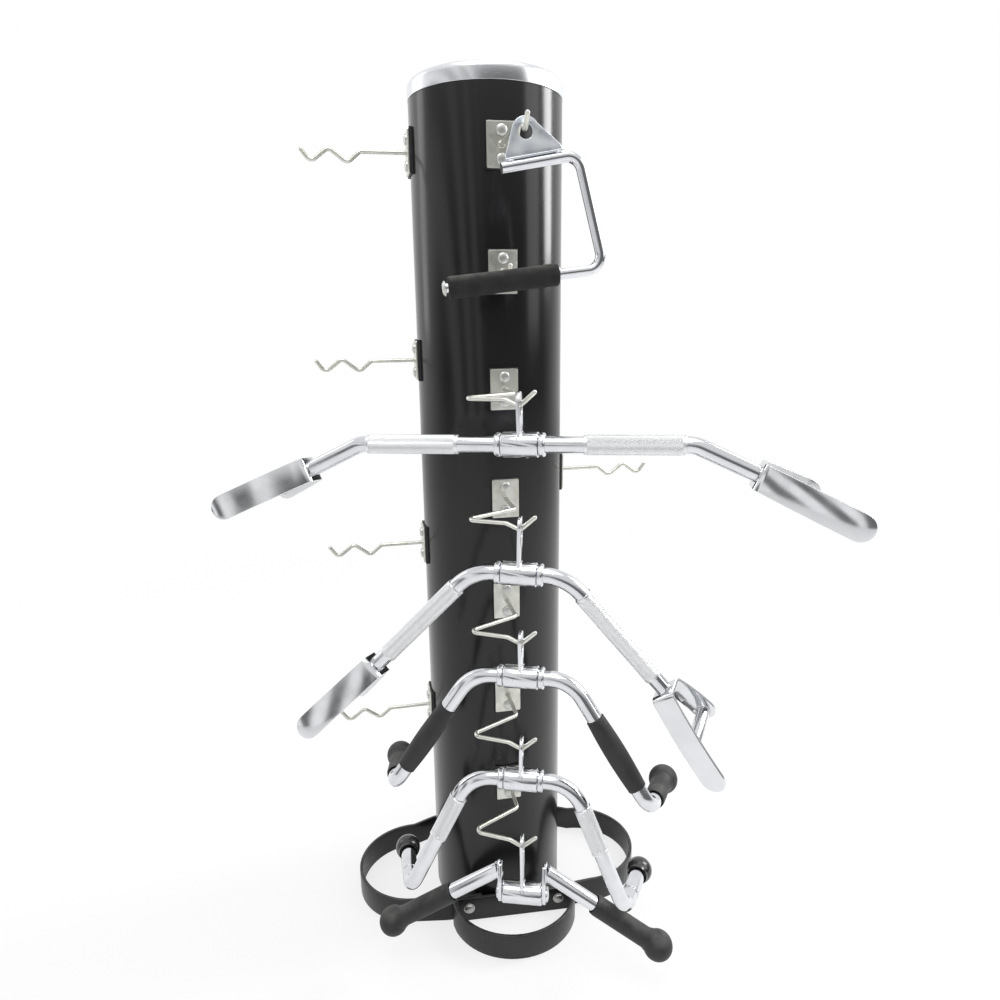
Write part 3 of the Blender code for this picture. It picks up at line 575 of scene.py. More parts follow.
def makeClosedHoop(name, node, side):
    half = foot["thickness"] / 2
    back = column["radius"] + gap + half
    width, depth = foot["closedHalf"] - half, foot["closedToe"] - half
    middle = foot["closedReach"] - foot["closedToe"]
    arc = [Vector((width * cos(a), middle + depth * sin(a), 0)) for a in angles(*range(20, 91, 5))]
    corner = rounded([(0, back, 0), (width, back, 0), arc[0]], foot["closedCorner"], radians(12))
    quarter = corner[1:] + arc[1:]
    outline = quarter + [flip(p) for p in reversed(quarter[:-1])]
    addHoop(name, node, [Vector((p.x + foot["closedOffset"], side * p.y, 0)) for p in outline], True)
    face = back + half
    z = foot["boltZ"] - foot["height"] / 2
    nut = back - half - gap - foot["thickness"] - gap
    for i, hand in enumerate((-1, 1)):
        x = foot["closedOffset"] + hand * foot["boltX"]
        head = dome(foot["headRadius"], foot["headHeight"], (x, side * face, z), (0, side, 0))
        near, far = ((x, side * y, z) for y in (face - 0.0002, face + foot["washer"]))
        washer = rod(near, far, foot["headRadius"] + foot["washerRim"], 0.0004)
        near, far = ((x, side * y, z) for y in (nut - foot["shankPast"], face + 0.001))
        shank = rod(near, far, foot["boltRadius"])
        hexNut = hexHead(foot["headRadius"], foot["nut"], (x, side * nut, z), (0, -side, 0))
        piece("%sBolt%d" % (name, i + 1), [head, washer, shank, hexNut], "rack", "boltSteel", footMatrix)


def makeSideHoop(name, node, side):
    half = foot["thickness"] / 2
    leg = column["radius"] - half
    width, depth = foot["sideHalf"] - half, foot["sideToe"] - half
    toe = foot["sideReach"] - foot["sideToe"]
    turns = angles(*range(-90, 91, 5))
    arc = [(toe + depth * cos(a), foot["sideOffset"] + width * sin(a), 0) for a in turns]
    near, straight, bend = foot["legStart"], foot["legStraight"], foot["legBend"]
    front = rounded([(near, -leg, 0), (straight, -leg, 0), arc[0]], bend, radians(2))
    rear = rounded([arc[-1], (straight, leg, 0), (near, leg, 0)], bend, radians(2))
    addHoop(name, node, [Vector((side * p[0], p[1], 0)) for p in front[:-1] + arc + rear[1:]], False)


makeClosedHoop("frontHoop", "foot_hoop_front", -1)
makeClosedHoop("backHoop", "foot_hoop_back", 1)
makeSideHoop("rightHoop", "foot_hoop_right", 1)
makeSideHoop("leftHoop", "foot_hoop_left", -1)
print("foot hoops")


# the hooks: saddle pad, plate, two bolts and a bent wire
hooks = {
    "pad": (0.048, 0.068), "padThickness": 0.0020, "padSteps": 14, "padEdge": 0.0006, "plate": (0.045, 0.065),
    "plateThickness": 0.003, "plateCorner": 0.0025, "plateEdge": 0.0005, "boltZ": 0.020, "headRadius": 0.0085,
    "headHeight": 0.0045, "wire": 0.0033, "bend": 0.009, "weldRing": 0.0043, "weld": 0.0013,
    "frontTop": column["height"] - 0.0885, "frontPitch": 0.1803, "leftTop": column["height"] - 0.077,
    "leftPitch": 0.329, "right": column["height"] - 0.611,
}
# the wires' corners: how far to the side, out from the column's axis and up
wavyWire = ((0, 0.205, 0), (0, 0.2255, -0.0172), (0, 0.254, 0.0047), (0, 0.2827, -0.0172), (0, 0.298, 0.0042))
zigzagWire = (
    (0, 0.201, 0), (-0.086, 0.2435, 0), (-0.030, 0.2765, 0), (-0.011, 0.2865, -0.0089), (0.011, 0.296, 0.0130),
)
shortWire = ((0, 0.179, 0), (0, 0.187, 0.008))


solidStep = radians(40)  # the step of the solids' bends: each bar hangs from the point where theirs does


def wirePath(corners, turnStep=radians(9)):
    start = column["radius"] + hooks["padThickness"] + hooks["plateThickness"] / 2
    points = [(0, -start, 0)] + [(x, -out, z) for x, out, z in corners]
    return rounded(points, hooks["bend"], turnStep)


def lowest(path):
    return min(path, key=lambda point: point.z)


def saddlePad():
    # flat in front, hollowed to the column behind
    r, (width, tall), steps = column["radius"], hooks["pad"], hooks["padSteps"]
    outer = r + hooks["padThickness"]
    form = bmesh.new()
    rows = []
    for i in range(steps + 1):
        x = -width / 2 + width * i / steps
        inner = -cos(x / (r + gap)) * (r + gap)
        corners = ((-outer, -tall / 2), (-outer, tall / 2), (inner, tall / 2), (inner, -tall / 2))
        rows.append([form.verts.new((x, y, z)) for y, z in corners])
    for a, b in zip(rows, rows[1:]):
        for k in range(4):
            form.faces.new((a[k], a[(k + 1) % 4], b[(k + 1) % 4], b[k]))
    form.faces.new(rows[0])
    form.faces.new(rows[-1][::-1])
    return eased(addObject("loose", formMesh(form)), hooks["padEdge"], 2)


def makeHook(name, node, corners, turn, height):
    matrix = spin(turn, "Z") @ shift(0, 0, height)
    piece("pad" + name, [saddlePad()], "rack", "padPlastic", matrix, "pad_" + node)
    back = column["radius"] + hooks["padThickness"] + gap
    front = back + hooks["plateThickness"]
    wide, high = (size / 2 for size in hooks["plate"])
    outline = [(-wide, -high, 0), (wide, -high, 0), (wide, high, 0), (-wide, high, 0)]
    lying = shift(0, -(back + front) / 2, 0) @ spin(pi / 2, "X")
    outline = roundedRing(outline, hooks["plateCorner"])
    base = plate([outline], hooks["plateThickness"], hooks["plateEdge"], lying)
    wire = tube(wirePath(corners), hooks["wire"], 16, True)
    r = hooks["weldRing"]
    weld = bead([(r * cos(a), -front - 0.0004, r * sin(a)) for a in fullTurn(22)], hooks["weld"])
    piece("hook" + name, [base, wire, weld], "rack", "hookZinc", matrix, "hook_" + node)
    for i, z in enumerate((-hooks["boltZ"], hooks["boltZ"])):
        head = dome(hooks["headRadius"], hooks["headHeight"], (0, -front, z), (0, -1, 0), 24)
        piece("hook%sBolt%d" % (name, i + 1), [head], "rack", "boltSteel", matrix)


for i in range(7):
    corners = zigzagWire if i > 1 else (wavyWire, shortWire)[i]
    makeHook("Front%d" % (i + 1), "front_%d" % (i + 1), corners, 0, hooks["frontTop"] - i * hooks["frontPitch"])
for i in range(4):
    makeHook("Left%d" % (i + 1), "left_%d" % (i + 1), wavyWire, -pi / 2, hooks["leftTop"] - i * hooks["leftPitch"])
makeHook("Right1", "right_1", wavyWire, pi / 2, hooks["right"])
print("twelve hooks on their pads")


# the hanger that each revolving bar turns in: an eye plate welded on a hub
hanger = {
    "barRadius": 0.0123, "hubRadius": 0.0183, "hubLength": 0.053, "hubEdge": 0.0026,
    "collar": 0.0095, "collarInset": 0.001, "collarEdge": 0.0028, "collarScrew": 0.0021,
    "eyeThickness": 0.005, "eyeEdge": 0.0009, "eyeHole": 0.0095, "eyeHalfWidth": 0.016, "eyeRim": 0.0135,
    "hangGap": 0.0026, "weld": 0.0014, "weldLift": 0.0004,
    "screwX": 0.010, "screwRadius": 0.0024, "nippleX": -0.012, "nippleRadius": 0.0026,
}
upright = spin(pi / 2, "Z") @ spin(pi / 2, "X")


def hangMatrix(look):
    # where a bar hangs on the wire of its hook, turned and tilted as in the photo
    spot = lowest(wirePath(zigzagWire, solidStep))
    height = hooks["frontTop"] - (look["number"] - 1) * hooks["frontPitch"]
    turn = spin(-look["yaw"], "Z") @ spin(look["tilt"], "Y")
    return Matrix.Translation(spot + Vector((0, 0, height))) @ turn


# the eyes' hole, whose top lies over the wire that they hang on
holeZ = -(hanger["eyeHole"] - hooks["wire"] - hanger["hangGap"])
eyeHole = arcPoints(hanger["eyeHole"], (0, holeZ), 36)


def makeHanger(name, body, look, hubRadius, bore, length):
    matrix, drop = hangMatrix(look), look["drop"]
    footHalf = hubRadius * 0.96
    half = hanger["eyeHalfWidth"]
    top = arcPoints(half, (0, holeZ + hanger["eyeHole"] + hanger["eyeRim"] - half), 28, 0, pi)
    skirt = -drop + footHalf * 0.75
    side = rounded([(*top[-1], 0), (-half * 0.8, skirt, 0), (-footHalf, -drop, 0)], 0.008)[1:-1]
    outline = top + side + [(-footHalf, -drop), (footHalf, -drop)] + [(-p[0], p[1]) for p in reversed(side)]
    eye = plate([outline, eyeHole], hanger["eyeThickness"], hanger["eyeEdge"], upright)
    hub = pipe((-length / 2, 0, -drop), (length / 2, 0, -drop), hubRadius, bore, hanger["hubEdge"], 64)
    reach = hubRadius + hanger["weldLift"]
    turns = angles(*range(-56, 57, 4))
    welds = []
    for x in (-hanger["eyeThickness"] / 2, hanger["eyeThickness"] / 2):
        welds.append(bead([(x, reach * sin(a), -drop + reach * cos(a)) for a in turns], hanger["weld"]))
    low, x = -drop - hubRadius, hanger["screwX"]
    screw = rod((x, 0, low - 0.0004), (x, 0, low + 0.003), hanger["screwRadius"], 0.0004, 16)
    x = hanger["nippleX"]
    nipple = rod((x, -hubRadius - 0.0005, -drop), (x, -hubRadius + 0.004, -drop), hanger["nippleRadius"], 0.0005, 16)
    piece(name, [eye, hub, *welds, screw, nipple], body, "barChrome", matrix, body)
    return matrix @ shift(0, 0, -drop)


def makeBarHanger(name, node, look):
    bore = hanger["barRadius"] + runningGap
    return makeHanger(name, node + "_hanger", look, hanger["hubRadius"], bore, hanger["hubLength"])


def barCore(look):
    # the bent tube, whose left half mirrors the right one
    half, bends = [Vector(p) for p in look["half"]], look["bends"]
    corners = [flip(p) for p in reversed(half)] + half
    return tube(rounded(corners, [*reversed(bends), *bends], radians(7)), hanger["barRadius"], 40)


def arm(half, i=0):
    start, end = Vector(half[i]), Vector(half[i + 1])
    return start, end, (end - start).normalized()


def hubCollars():
    meshes = []
    inside = hanger["hubLength"] / 2 + gap
    radius = hanger["hubRadius"]
    for side in (-1, 1):
        outside = inside + hanger["collar"]
        ends = ((side * inside, 0, 0), (side * outside, 0, 0))
        meshes.append(rod(*ends, radius - hanger["collarInset"], hanger["collarEdge"], 56))
        middle = side * (inside + outside) / 2
        meshes.append(rod((middle, -0.0150, 0), (middle, -radius + 0.0006, 0), hanger["collarScrew"], 0.0003, 14))
    return meshes


def addKnurl(name, node, hub, first, last):
    piece(name, [knurledSleeve(first, last)], node, "knurlChrome", hub, crease=radians(12))


def endPin(end, direction):
    through = stirrup["thickness"] + 2 * gap
    radius, rise, rim = stirrup["pinHeadRadius"], stirrup["pinHead"], stirrup["pinRim"]
    arc = [(radius * sin(a), through + rim + (rise - rim) * cos(a)) for a in angles(*range(0, 91, 12))]
    profile = arc + [(radius, through), (stirrup["pin"], through), (stirrup["pin"], -0.002), (0, -0.002)]
    return lathe(profile, 32, end, direction, 0.0004)


# the two long bars: bent tube, knurled sleeves, and a swivelling stirrup on each end
stirrup = {
    "width": 0.0375, "thickness": 0.005, "top": 0.0165, "bend": 0.009, "spread": radians(15.5), "frontLeg": 0.150,
    "rearLeg": 0.098, "bow": 0.0045, "legStep": 0.025, "rodAt": 0.081, "rodRadius": 0.0105, "rodSunk": 0.0012,
    "pin": 0.006, "pinHeadRadius": 0.0085, "pinHead": 0.004, "pinRim": 0.0012, "edge": 0.0011, "weld": 0.0012,
    "weldLift": 0.0004,
}
upperBar = {
    "number": 3, "yaw": radians(22.9), "tilt": radians(-1.0), "drop": 0.056, "bends": (0.040,),
    "half": ((0.240, 0, 0), (0.3208, 0, -0.038)), "knurl": (-0.1495, -0.0115), "turns": (radians(8.0), 0.0),
}
wideBar = {
    "number": 4, "yaw": radians(20.2), "tilt": radians(1.6), "drop": 0.069, "bends": (0.079,),
    "half": ((0.070, 0, 0), (0.222, 0, -0.1665)), "knurl": (0.037, 0.200), "turns": (radians(12.0), radians(22.0)),
}


def legPoint(along, side):
    # a point on the middle of a leg; the legs spread from the top at the pin and bow outwards a little
    share = along / (stirrup["rearLeg"] if side > 0 else stirrup["frontLeg"])
    bow = 4 * stirrup["bow"] * share * (1 - share)
    return along, side * (stirrup["top"] + along * tan(stirrup["spread"]) + bow), 0


def legPath(length, side):
    count = round(length / stirrup["legStep"])
    return [legPoint(length * k / count, side) for k in range(count, 0, -1)]


def makeStirrup(name, node, end, direction, turn, bar):
    out = direction.normalized()
    back = Vector((0, 1, 0))
    across = out.cross(back).normalized()
    facing = Matrix((out, back, across)).transposed().to_4x4()
    matrix = bar @ Matrix.Translation(end) @ facing @ spin(turn, "X")
    mid = gap + stirrup["thickness"] / 2
    corners = legPath(stirrup["frontLeg"], -1) + [legPoint(mid, -1), legPoint(mid, 1)]
    corners += reversed(legPath(stirrup["rearLeg"], 1))
    core = rounded(corners, stirrup["bend"], radians(6))
    half = stirrup["width"] / 2
    roundEnds = []
    for tip, inner in ((core[0], core[1]), (core[-1], core[-2])):
        inward = (inner - tip).normalized()
        turns = angles(86, 78, 68, 57, 45, 32, 18, 0)
        roundEnds.append([(tip + inward * half * (1 - sin(a)), half * cos(a)) for a in turns])
    stations = roundEnds[0] + [(p, half) for p in core[1:-1]] + roundEnds[1][::-1]
    path, widths = zip(*stations)
    bent = strap(path, (0, 0, 1), widths, stirrup["thickness"], stirrup["edge"])
    left, right = (Vector(legPoint(stirrup["rodAt"], side)) for side in (-1, 1))
    sunk = Vector((0, stirrup["rodSunk"], 0))
    cross = rod(left + sunk, right - sunk, stirrup["rodRadius"], 0.0006, 40)
    lift, inset = stirrup["weldLift"], stirrup["thickness"] / 2 + stirrup["weldLift"]
    welds = []
    for side in (-1, 1):
        circle = []
        for a in fullTurn(40):
            spoke = Vector((cos(a), 0, sin(a))) * (stirrup["rodRadius"] + lift)
            spot = Vector(legPoint(stirrup["rodAt"] + spoke.x, side)) - Vector((0, side * inset, 0))
            circle.append(spot + Vector((0, 0, spoke.z)))
        welds.append(bead(circle, stirrup["weld"]))
    piece(name, [bent, cross, *welds], node, "strapChrome", matrix, node)


def makeStirrupBar(label, node, look):
    hub = makeBarHanger(label + "Hanger", node, look)
    origin, end, direction = arm(look["half"])
    pins = [endPin(end, direction), endPin(flip(end), flip(direction))]
    piece(label, [barCore(look), *hubCollars(), *pins], node, "barChrome", hub, node + "_bar")
    along = upX if look["knurl"][0] < 0 else direction
    first, last = (origin + along * reach for reach in look["knurl"])
    for side, turn in bothSides:
        addKnurl(label + "Knurl" + side, node, hub, turn(first), turn(last))
    for (side, turn), swivel in zip(bothSides, reversed(look["turns"])):
        body = node + "_stirrup_" + side.lower()
        makeStirrup(label + "Stirrup" + side, body, turn(end), turn(direction), swivel, hub)


makeStirrupBar("upperBar", "upper_bar", upperBar)
makeStirrupBar("wideBar", "wide_bar", wideBar)
print("two stirrup bars")


# the revolving bar with rubber grips, whose ends come back as ball grips
gripBar = {
    "number": 5, "yaw": radians(21.2), "tilt": 0.0, "drop": 0.056, "lean": radians(11.3),
    "half": ((0.077, 0, 0), (0.200, 0, -0.187), (0.2235, 0.104, -0.187)), "bends": (0.062, 0.025),
    "span": (0.068, 0.188), "endRadius": 0.0143, "middleRadius": 0.0166,
    "returnCore": 0.074, "returnLength": 0.080, "ball": 0.0232,
}
facets = 12  # the solids' grips have this many sides, and their bore clears the bar at the flats


def innerRadius(core):
    return (core + gap) / cos(pi / facets)


def gripSleeve(start, end):
    # a smooth barrel, fullest at its middle
    length = (end - start).length
    inner = innerRadius(hanger["barRadius"])
    low, rise = gripBar["endRadius"], gripBar["middleRadius"] - gripBar["endRadius"]
    profile = [(low + rise * sin(pi * k / 16), length * (1 - k / 16)) for k in range(17)]
    return lathe(profile + [(inner, 0), (inner, length)], 64, start, end - start, 0.0006, True)


def ballGrip(start, direction, coreEnd, length, core, ball, wall=0.0027):
    inner = innerRadius(core)
    outer = inner + wall
    neck = length - ball * 0.75
    arc = [(ball * cos(a), length + ball * sin(a)) for a in angles(*range(90, -39, -8))]
    arc[0] = (0, length + ball)
    profile = arc + [(outer, neck - 0.006), (outer, 0.006), (outer - 0.001, 0), (inner, 0)]
    profile += [(inner, coreEnd + gap), (0, coreEnd + gap)]
    return lathe(profile, 56, start, direction, 0.004)


def makeGripBar():
    node, look = "grip_bar", gripBar
    hub = makeBarHanger("gripBarHanger", node, look) @ spin(-look["lean"], "X")
    piece("gripBar", [barCore(look), *hubCollars()], node, "barChrome", hub, node + "_bar")
    origin, _, direction = arm(look["half"])
    first, last = (origin + direction * reach for reach in look["span"])
    _, tip, along = arm(look["half"], 1)
    mouth, core = tip - along * look["returnCore"], hanger["barRadius"]
    for side, turn in bothSides:
        low = side.lower()
        sleeve = gripSleeve(turn(first), turn(last))
        piece("gripBarGrip" + side, [sleeve], node, "gripRubber", hub, node + "_grip_" + low)
        grip = ballGrip(turn(mouth), turn(along), look["returnCore"], look["returnLength"], core, look["ball"])
        piece("gripBarReturn" + side, [grip], node, "gripRubber", hub, node + "_return_" + low)


makeGripBar()
print("grip bar")


# the small bar: knurled arms, short returns and a ball on each end
smallBar = {
    "number": 6, "yaw": radians(17.9), "tilt": radians(1.7), "drop": 0.056, "lean": radians(8.5),
    "half": ((0.082, 0, 0), (0.174, 0, -0.202), (0.205, 0.1055, -0.202)), "bends": (0.060, 0.025),
    "knurl": (0.042, 0.120), "screwShare": 0.09, "screwRadius": 0.0024,
    "sleeve": (0.042, 0.012), "ball": 0.0215, "neck": 0.016,
}


def makeSmallBar():
    node, look = "small_bar", smallBar
    hub = makeBarHanger("smallBarHanger", node, look) @ spin(-look["lean"], "X")
    core = hanger["barRadius"]
    origin, _, direction = arm(look["half"])
    knee, tip, along = arm(look["half"], 1)
    start, short = look["sleeve"]
    top, bottom = Vector((0, -knurl["radius"] - 0.0004, 0)), Vector((0, -knurl["radius"] + 0.004, 0))
    meshes = [barCore(look), *hubCollars()]
    for side, turn in bothSides:
        first, last = (turn(origin + direction * reach) for reach in look["knurl"])
        addKnurl("smallBarKnurl" + side, node, hub, first, last)
        meshes.append(rod(turn(knee + along * start), turn(tip - along * short), core + 0.001, 0.0008, 40))
        for spot, inward in ((first, last - first), (last, first - last)):
            screw = spot + inward * look["screwShare"]
            meshes.append(rod(screw + bottom, screw + top, look["screwRadius"], 0.0003, 14))
        ball = ballGrip(turn(tip - along * (short - gap)), turn(along), short, look["neck"], core, look["ball"])
        piece("smallBarBall" + side, [ball], node, "ballPlastic", hub, node + "_ball_" + side.lower())
    piece("smallBar", meshes, node, "barChrome", hub, node + "_bar")


makeSmallBar()
print("small bar")


# the V handle: a hub between two ears, and two rods with ball-ended grips
vHandle = {
    "number": 7, "yaw": radians(18.5), "tilt": 0.0, "drop": 0.091, "hubRadius": 0.018, "pin": 0.008,
    "earX": 0.0335, "earThickness": 0.006, "earHalf": 0.016, "earTop": 0.056, "earBottom": 0.016, "crownHalf": 0.006,
    "crownBend": 0.004, "earEdge": 0.0010, "head": (0.012, 0.005), "rod": 0.0123, "start": (0.039, 0, 0.043),
    "end": (0.228, 0, -0.084), "gripStart": 0.096, "ball": 0.0245, "wall": 0.0035, "weld": 0.0014,
}


def makeVHandle():
    node, look = "v_handle", vHandle
    bore, length = look["pin"] + runningGap, 2 * (look["earX"] - gap)
    hub = makeHanger("vHandleHanger", node + "_hanger", look, look["hubRadius"], bore, length)
    half, shoulder = look["earHalf"], look["earTop"] * 0.55
    sole = arcPoints(half, (0, -look["earBottom"] + half), 28, pi, pi)
    right = [(half, -0.001, 0), (half, shoulder, 0), (look["crownHalf"], look["earTop"], 0)]
    crown = rounded(right + [(-x, y, z) for x, y, z in reversed(right)], look["crownBend"])
    face = look["earX"] + look["earThickness"]
    meshes = []
    for side in (-1, 1):
        ear = shift(side * (look["earX"] + look["earThickness"] / 2), 0, 0) @ upright
        meshes.append(plate([sole + crown[1:-1]], look["earThickness"], look["earEdge"], ear))
        meshes.append(dome(*look["head"], (side * face, 0, 0), (side, 0, 0), 32))
    start, end = Vector(look["start"]), Vector(look["end"])
    along = (end - start).normalized()
    tiltUp = Vector((-along.z, 0, along.x))
    for _, turn in bothSides:
        meshes.append(rod(turn(start), turn(end), look["rod"], 0.0008, 40))
        # the bead lies where the rod leaves the ear's outer face
        circle = []
        for a in fullTurn(44):
            spoke = (tiltUp * cos(a) + Vector((0, 1, 0)) * sin(a)) * (look["rod"] + 0.0003)
            reach = (face - (start + spoke).x) / along.x
            circle.append(turn(start + spoke + along * reach))
        meshes.append(bead(circle, look["weld"]))
    pinEnd = look["earX"] + 0.002
    meshes.append(rod((-pinEnd, 0, 0), (pinEnd, 0, 0), look["pin"], 0.0004))
    piece("vHandleYoke", meshes, node, "barChrome", hub, node + "_yoke")
    mouth = start + along * look["gripStart"]
    reach = (end - mouth).length
    for side, turn in bothSides:
        grip = ballGrip(turn(mouth), turn(along), reach, reach - 0.004, look["rod"], look["ball"], look["wall"])
        piece("vHandleGrip" + side, [grip], node, "gripRubber", hub, node + "_grip_" + side.lower())


makeVHandle()
print("V handle")


# the single handle: a bent rod under a folded eye plate, and a foam grip that turns on the rod
handle = {
    "turn": radians(6.5), "topTurn": radians(4.0), "rod": 0.0071, "top": ((-0.040, -0.042), (0.065, -0.042)),
    "bottom": ((0.090, -0.184), (-0.131, -0.184)), "bend": 0.020, "eyeBase": (-0.033, 0.045), "eyeRim": 0.009,
    "eyeThickness": 0.003, "eyeEdge": 0.0008, "flange": (0.010, 0.003), "flangeEdge": 0.0009,
    "weldInset": 0.006, "weldPost": 0.004, "weldRing": 0.0046, "weld": 0.0012, "grip": (-0.127, 0.024),
    "gripRadius": 0.0150, "washer": 0.010, "button": 0.010,
}


def makeSingleHandle():
    look = handle
    spot = lowest([p for p in wirePath(wavyWire, solidStep) if -p.y > wavyWire[2][1]])
    matrix = Matrix.Translation(spot + Vector((0, 0, hooks["frontTop"]))) @ spin(-look["turn"], "Y")
    topTurn = spin(-look["topTurn"], "Y")  # the top of the bent rod isn't quite square to the rest
    points = [topTurn @ Vector((x, 0, z)) for x, z in look["top"]] + [Vector((x, 0, z)) for x, z in look["bottom"]]
    z0 = look["top"][0][1]
    endX, low = look["bottom"][1]
    gripLeft, gripRight = look["grip"]
    bar = tube(rounded(points, look["bend"], radians(7)), look["rod"], 28)
    washer = pipe((gripRight + gap, 0, low), (gripRight + 0.003, 0, low), look["washer"], look["rod"] - 0.0005, 0.0005)
    piece("singleHandleRod", [bar, washer], "single_handle", "barChrome", matrix, "single_handle_frame")
    r = look["button"]
    button = lathe([(0, 0.004), (r * 0.7, 0.0036), (r, 0.0012), (r, 0.0), (0, 0)], 36, (endX, 0, low), (-1, 0, 0))
    piece("singleHandleButton", [button], "single_handle", "boltSteel", matrix)

    baseZ = z0 + look["rod"] + 0.0015
    left, right = look["eyeBase"]
    apex = arcPoints(hanger["eyeHole"] + look["eyeRim"], (0, holeZ), 24, radians(25), radians(130))
    outline = apex + [(left + 0.002, baseZ + 0.008), (left, baseZ), (right, baseZ), (right - 0.002, baseZ + 0.008)]
    meshes = [plate([outline, eyeHole], look["eyeThickness"], look["eyeEdge"], spin(pi / 2, "X"))]
    meshes.append(block((right - left, *look["flange"]), ((left + right) / 2, 0, baseZ), look["flangeEdge"]))
    r = look["weldRing"]
    posts = (left + look["weldInset"], right - look["weldInset"])
    meshes += [rod((x, 0, z0), (x, 0, baseZ), look["weldPost"], 0.0005, 20) for x in posts]
    for x in posts:
        circle = [(x + r * cos(a), r * sin(a), baseZ - 0.0018) for a in fullTurn(22)]
        meshes.append(bead(circle, look["weld"]))
    piece("singleHandleEye", meshes, "single_handle", "handleZinc", matrix @ topTurn)

    inner, outer = look["rod"] + runningGap, look["gripRadius"]
    length = gripRight - gripLeft
    profile = [
        (outer - 0.001, length), (outer, length - 0.003), (outer - 0.0006, length / 2), (outer, 0.003),
        (outer - 0.001, 0), (inner, 0), (inner, length),
    ]
    grip = lathe(profile, 56, (0, 0, 0), (1, 0, 0), 0.0014, True)
    axis = matrix @ shift(gripLeft, 0, low)
    piece("singleHandleGrip", [grip], "handle_grip", "foamRubber", axis, "single_handle_grip")


makeSingleHandle()
print("single handle")


# the plain studio: pale floor, a bright backdrop behind and above, and a dimmer room on the camera's side
studio = {
    "floorSize": 14.0, "floorLevel": -0.0005, "floorColor": (0.86, 0.86, 0.86), "floorGlow": 0.72,
    "floorFade": (0.9, 3.0), "floorMirror": 0.45, "worldLight": 0.75, "roomFront": 0.16, "roomBack": (-0.35, 0.55),
    "roomLeft": (0.16, 0.42), "leftGlow": (0.16, 1.0), "streakRate": 27.0, "streakSlant": 0.35,
    "ceiling": (0.10, 0.60), "ceilingGlow": 0.85, "aim": (0, 0, 0.75),
}


# each lamp's place, size and power
lamps = {
    "key": ((-0.8, -1.9, 4.6), (1.8, 1.4), 40.0),
    "window": ((2.6, 0.20, 2.35), (0.80, 1.7), 52.0),
    "strip": ((2.4, -1.25, 2.1), (1.1, 1.8), 12.0),
    "rim": ((-2.6, 1.6, 2.2), (0.8, 2.2), 9.0),
    "top": ((0.2, -0.4, 4.2), (2.6, 2.6), 30.0),
}
white = (1, 1, 1)


def mixShaders(tree, mask, first, second):
    return addNode(tree, "MixShader", {0: mask, 1: first, 2: second}).outputs[0]


def makeFloor():
    half, low = studio["floorSize"] / 2, studio["floorLevel"]
    mesh = bpy.data.meshes.new("floor")
    corners = [(-half, -half, low), (half, -half, low), (half, half, low), (-half, half, low)]
    mesh.from_pydata(corners, [], [(0, 1, 2, 3)])
    floor = addObject("floor", mesh)
    material, tree = newMaterial("paleFloor")
    inputs = {"Base Color": studio["floorColor"], "Roughness": 0.9, "Specular IOR Level": 0.1}
    shader = feed(tree, tree.nodes["Principled BSDF"], inputs)
    glow = addNode(tree, "Emission", {"Color": white})
    coords = addNode(tree, "TexCoord")
    span = addNode(tree, "VectorMath", {0: coords.outputs["Object"]}, operation="LENGTH")
    far = band(tree, span.outputs["Value"], *studio["floorFade"])  # the shadow lies near the foot, white beyond
    level = mathNode(tree, "ADD", times(tree, far, 1 - studio["floorGlow"]), studio["floorGlow"])
    path = addNode(tree, "LightPath").outputs
    seen = mathNode(tree, "ADD", path["Is Camera Ray"], path["Is Transmission Ray"])
    mirrored = times(tree, path["Is Glossy Ray"], studio["floorMirror"])
    seen = mathNode(tree, "ADD", seen, mirrored, clamp=True)
    mixed = mixShaders(tree, times(tree, seen, level), shader.outputs[0], glow.outputs[0])
    tree.links.new(mixed, tree.nodes["Material Output"].inputs["Surface"])
    mesh.materials.append(material)


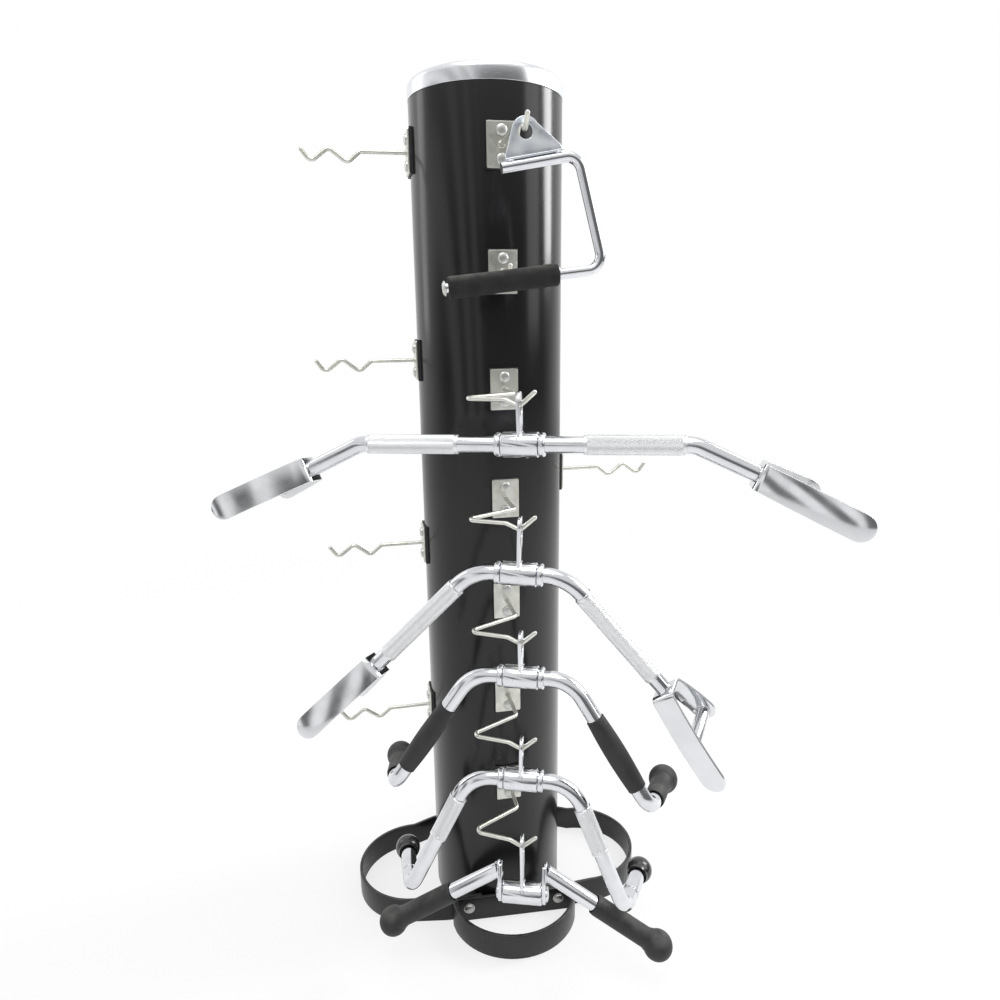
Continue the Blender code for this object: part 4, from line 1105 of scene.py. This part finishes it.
def makeWorld():
    world = bpy.data.worlds.new("studio")
    bpy.context.scene.world = world
    world.use_nodes = True
    tree = world.node_tree
    # what polished pieces mirror: white behind the rack, the ceiling above, and a dim room before it
    coords = addNode(tree, "TexCoord")
    x, y, z = addNode(tree, "SeparateXYZ", {0: coords.outputs["Generated"]}).outputs
    behind = band(tree, y, *studio["roomBack"])
    low, high = studio["leftGlow"]
    slanted = mathNode(tree, "ADD", x, times(tree, z, studio["streakSlant"]))
    wave = mathNode(tree, "SINE", times(tree, slanted, studio["streakRate"]))
    # pale panels with dark gaps
    panes = mathNode(tree, "ADD", times(tree, band(tree, wave, -0.7, 0.5), high - low), low)
    leftward = band(tree, times(tree, x, -1.0), *studio["roomLeft"])
    leftward = times(tree, leftward, panes)
    above = times(tree, band(tree, z, *studio["ceiling"]), studio["ceilingGlow"])
    bright = mathNode(tree, "MAXIMUM", mathNode(tree, "MAXIMUM", behind, leftward), above)
    bright = mathNode(tree, "MAXIMUM", bright, studio["roomFront"])
    shown = [tree.nodes["Background"], addNode(tree, "Background"), addNode(tree, "Background")]
    for node, strength in zip(shown, (studio["worldLight"], bright, 1.0)):
        feed(tree, node, {"Color": white, "Strength": strength})
    lit, room, backdrop = (node.outputs[0] for node in shown)
    path = addNode(tree, "LightPath").outputs
    mirrored = mixShaders(tree, path["Is Glossy Ray"], lit, room)
    seen = mathNode(tree, "ADD", path["Is Camera Ray"], path["Is Transmission Ray"], clamp=True)
    tree.links.new(mixShaders(tree, seen, mirrored, backdrop), tree.nodes["World Output"].inputs["Surface"])


def makeLamp(name, place, size, power):
    data = bpy.data.lights.new(name, "AREA")
    data.shape = "RECTANGLE"
    data.size, data.size_y = size
    data.energy = power
    lamp = addObject(name, data)
    lamp.location = place
    lamp.rotation_euler = (Vector(studio["aim"]) - Vector(place)).to_track_quat("-Z", "Y").to_euler()


makeFloor()
makeWorld()
for name, row in lamps.items():
    makeLamp(name, *row)

# the camera stands where the photograph was taken from
view = {
    "at": (-0.2335, -1.2698, 1.1233), "down": radians(14.04), "right": radians(11.11), "roll": radians(-0.78),
    "lens": 25.92, "sensor": 36,
}
down, right = view["down"], view["right"]
forward = Vector((sin(right) * cos(down), cos(right) * cos(down), -sin(down)))
sideways = Vector((cos(right), -sin(right), 0))
facing = Matrix((sideways, sideways.cross(forward), -forward)).transposed() @ Matrix.Rotation(view["roll"], 3, "Z")
cameraData = bpy.data.cameras.new("camera")
cameraData.sensor_width = view["sensor"]
cameraData.lens = view["lens"]
cameraData.clip_start = 0.02
camera = addObject("camera", cameraData)
camera.matrix_world = Matrix.Translation(view["at"]) @ facing.to_4x4()
bpy.context.scene.camera = camera
bpy.context.scene.view_settings.view_transform = "Standard"
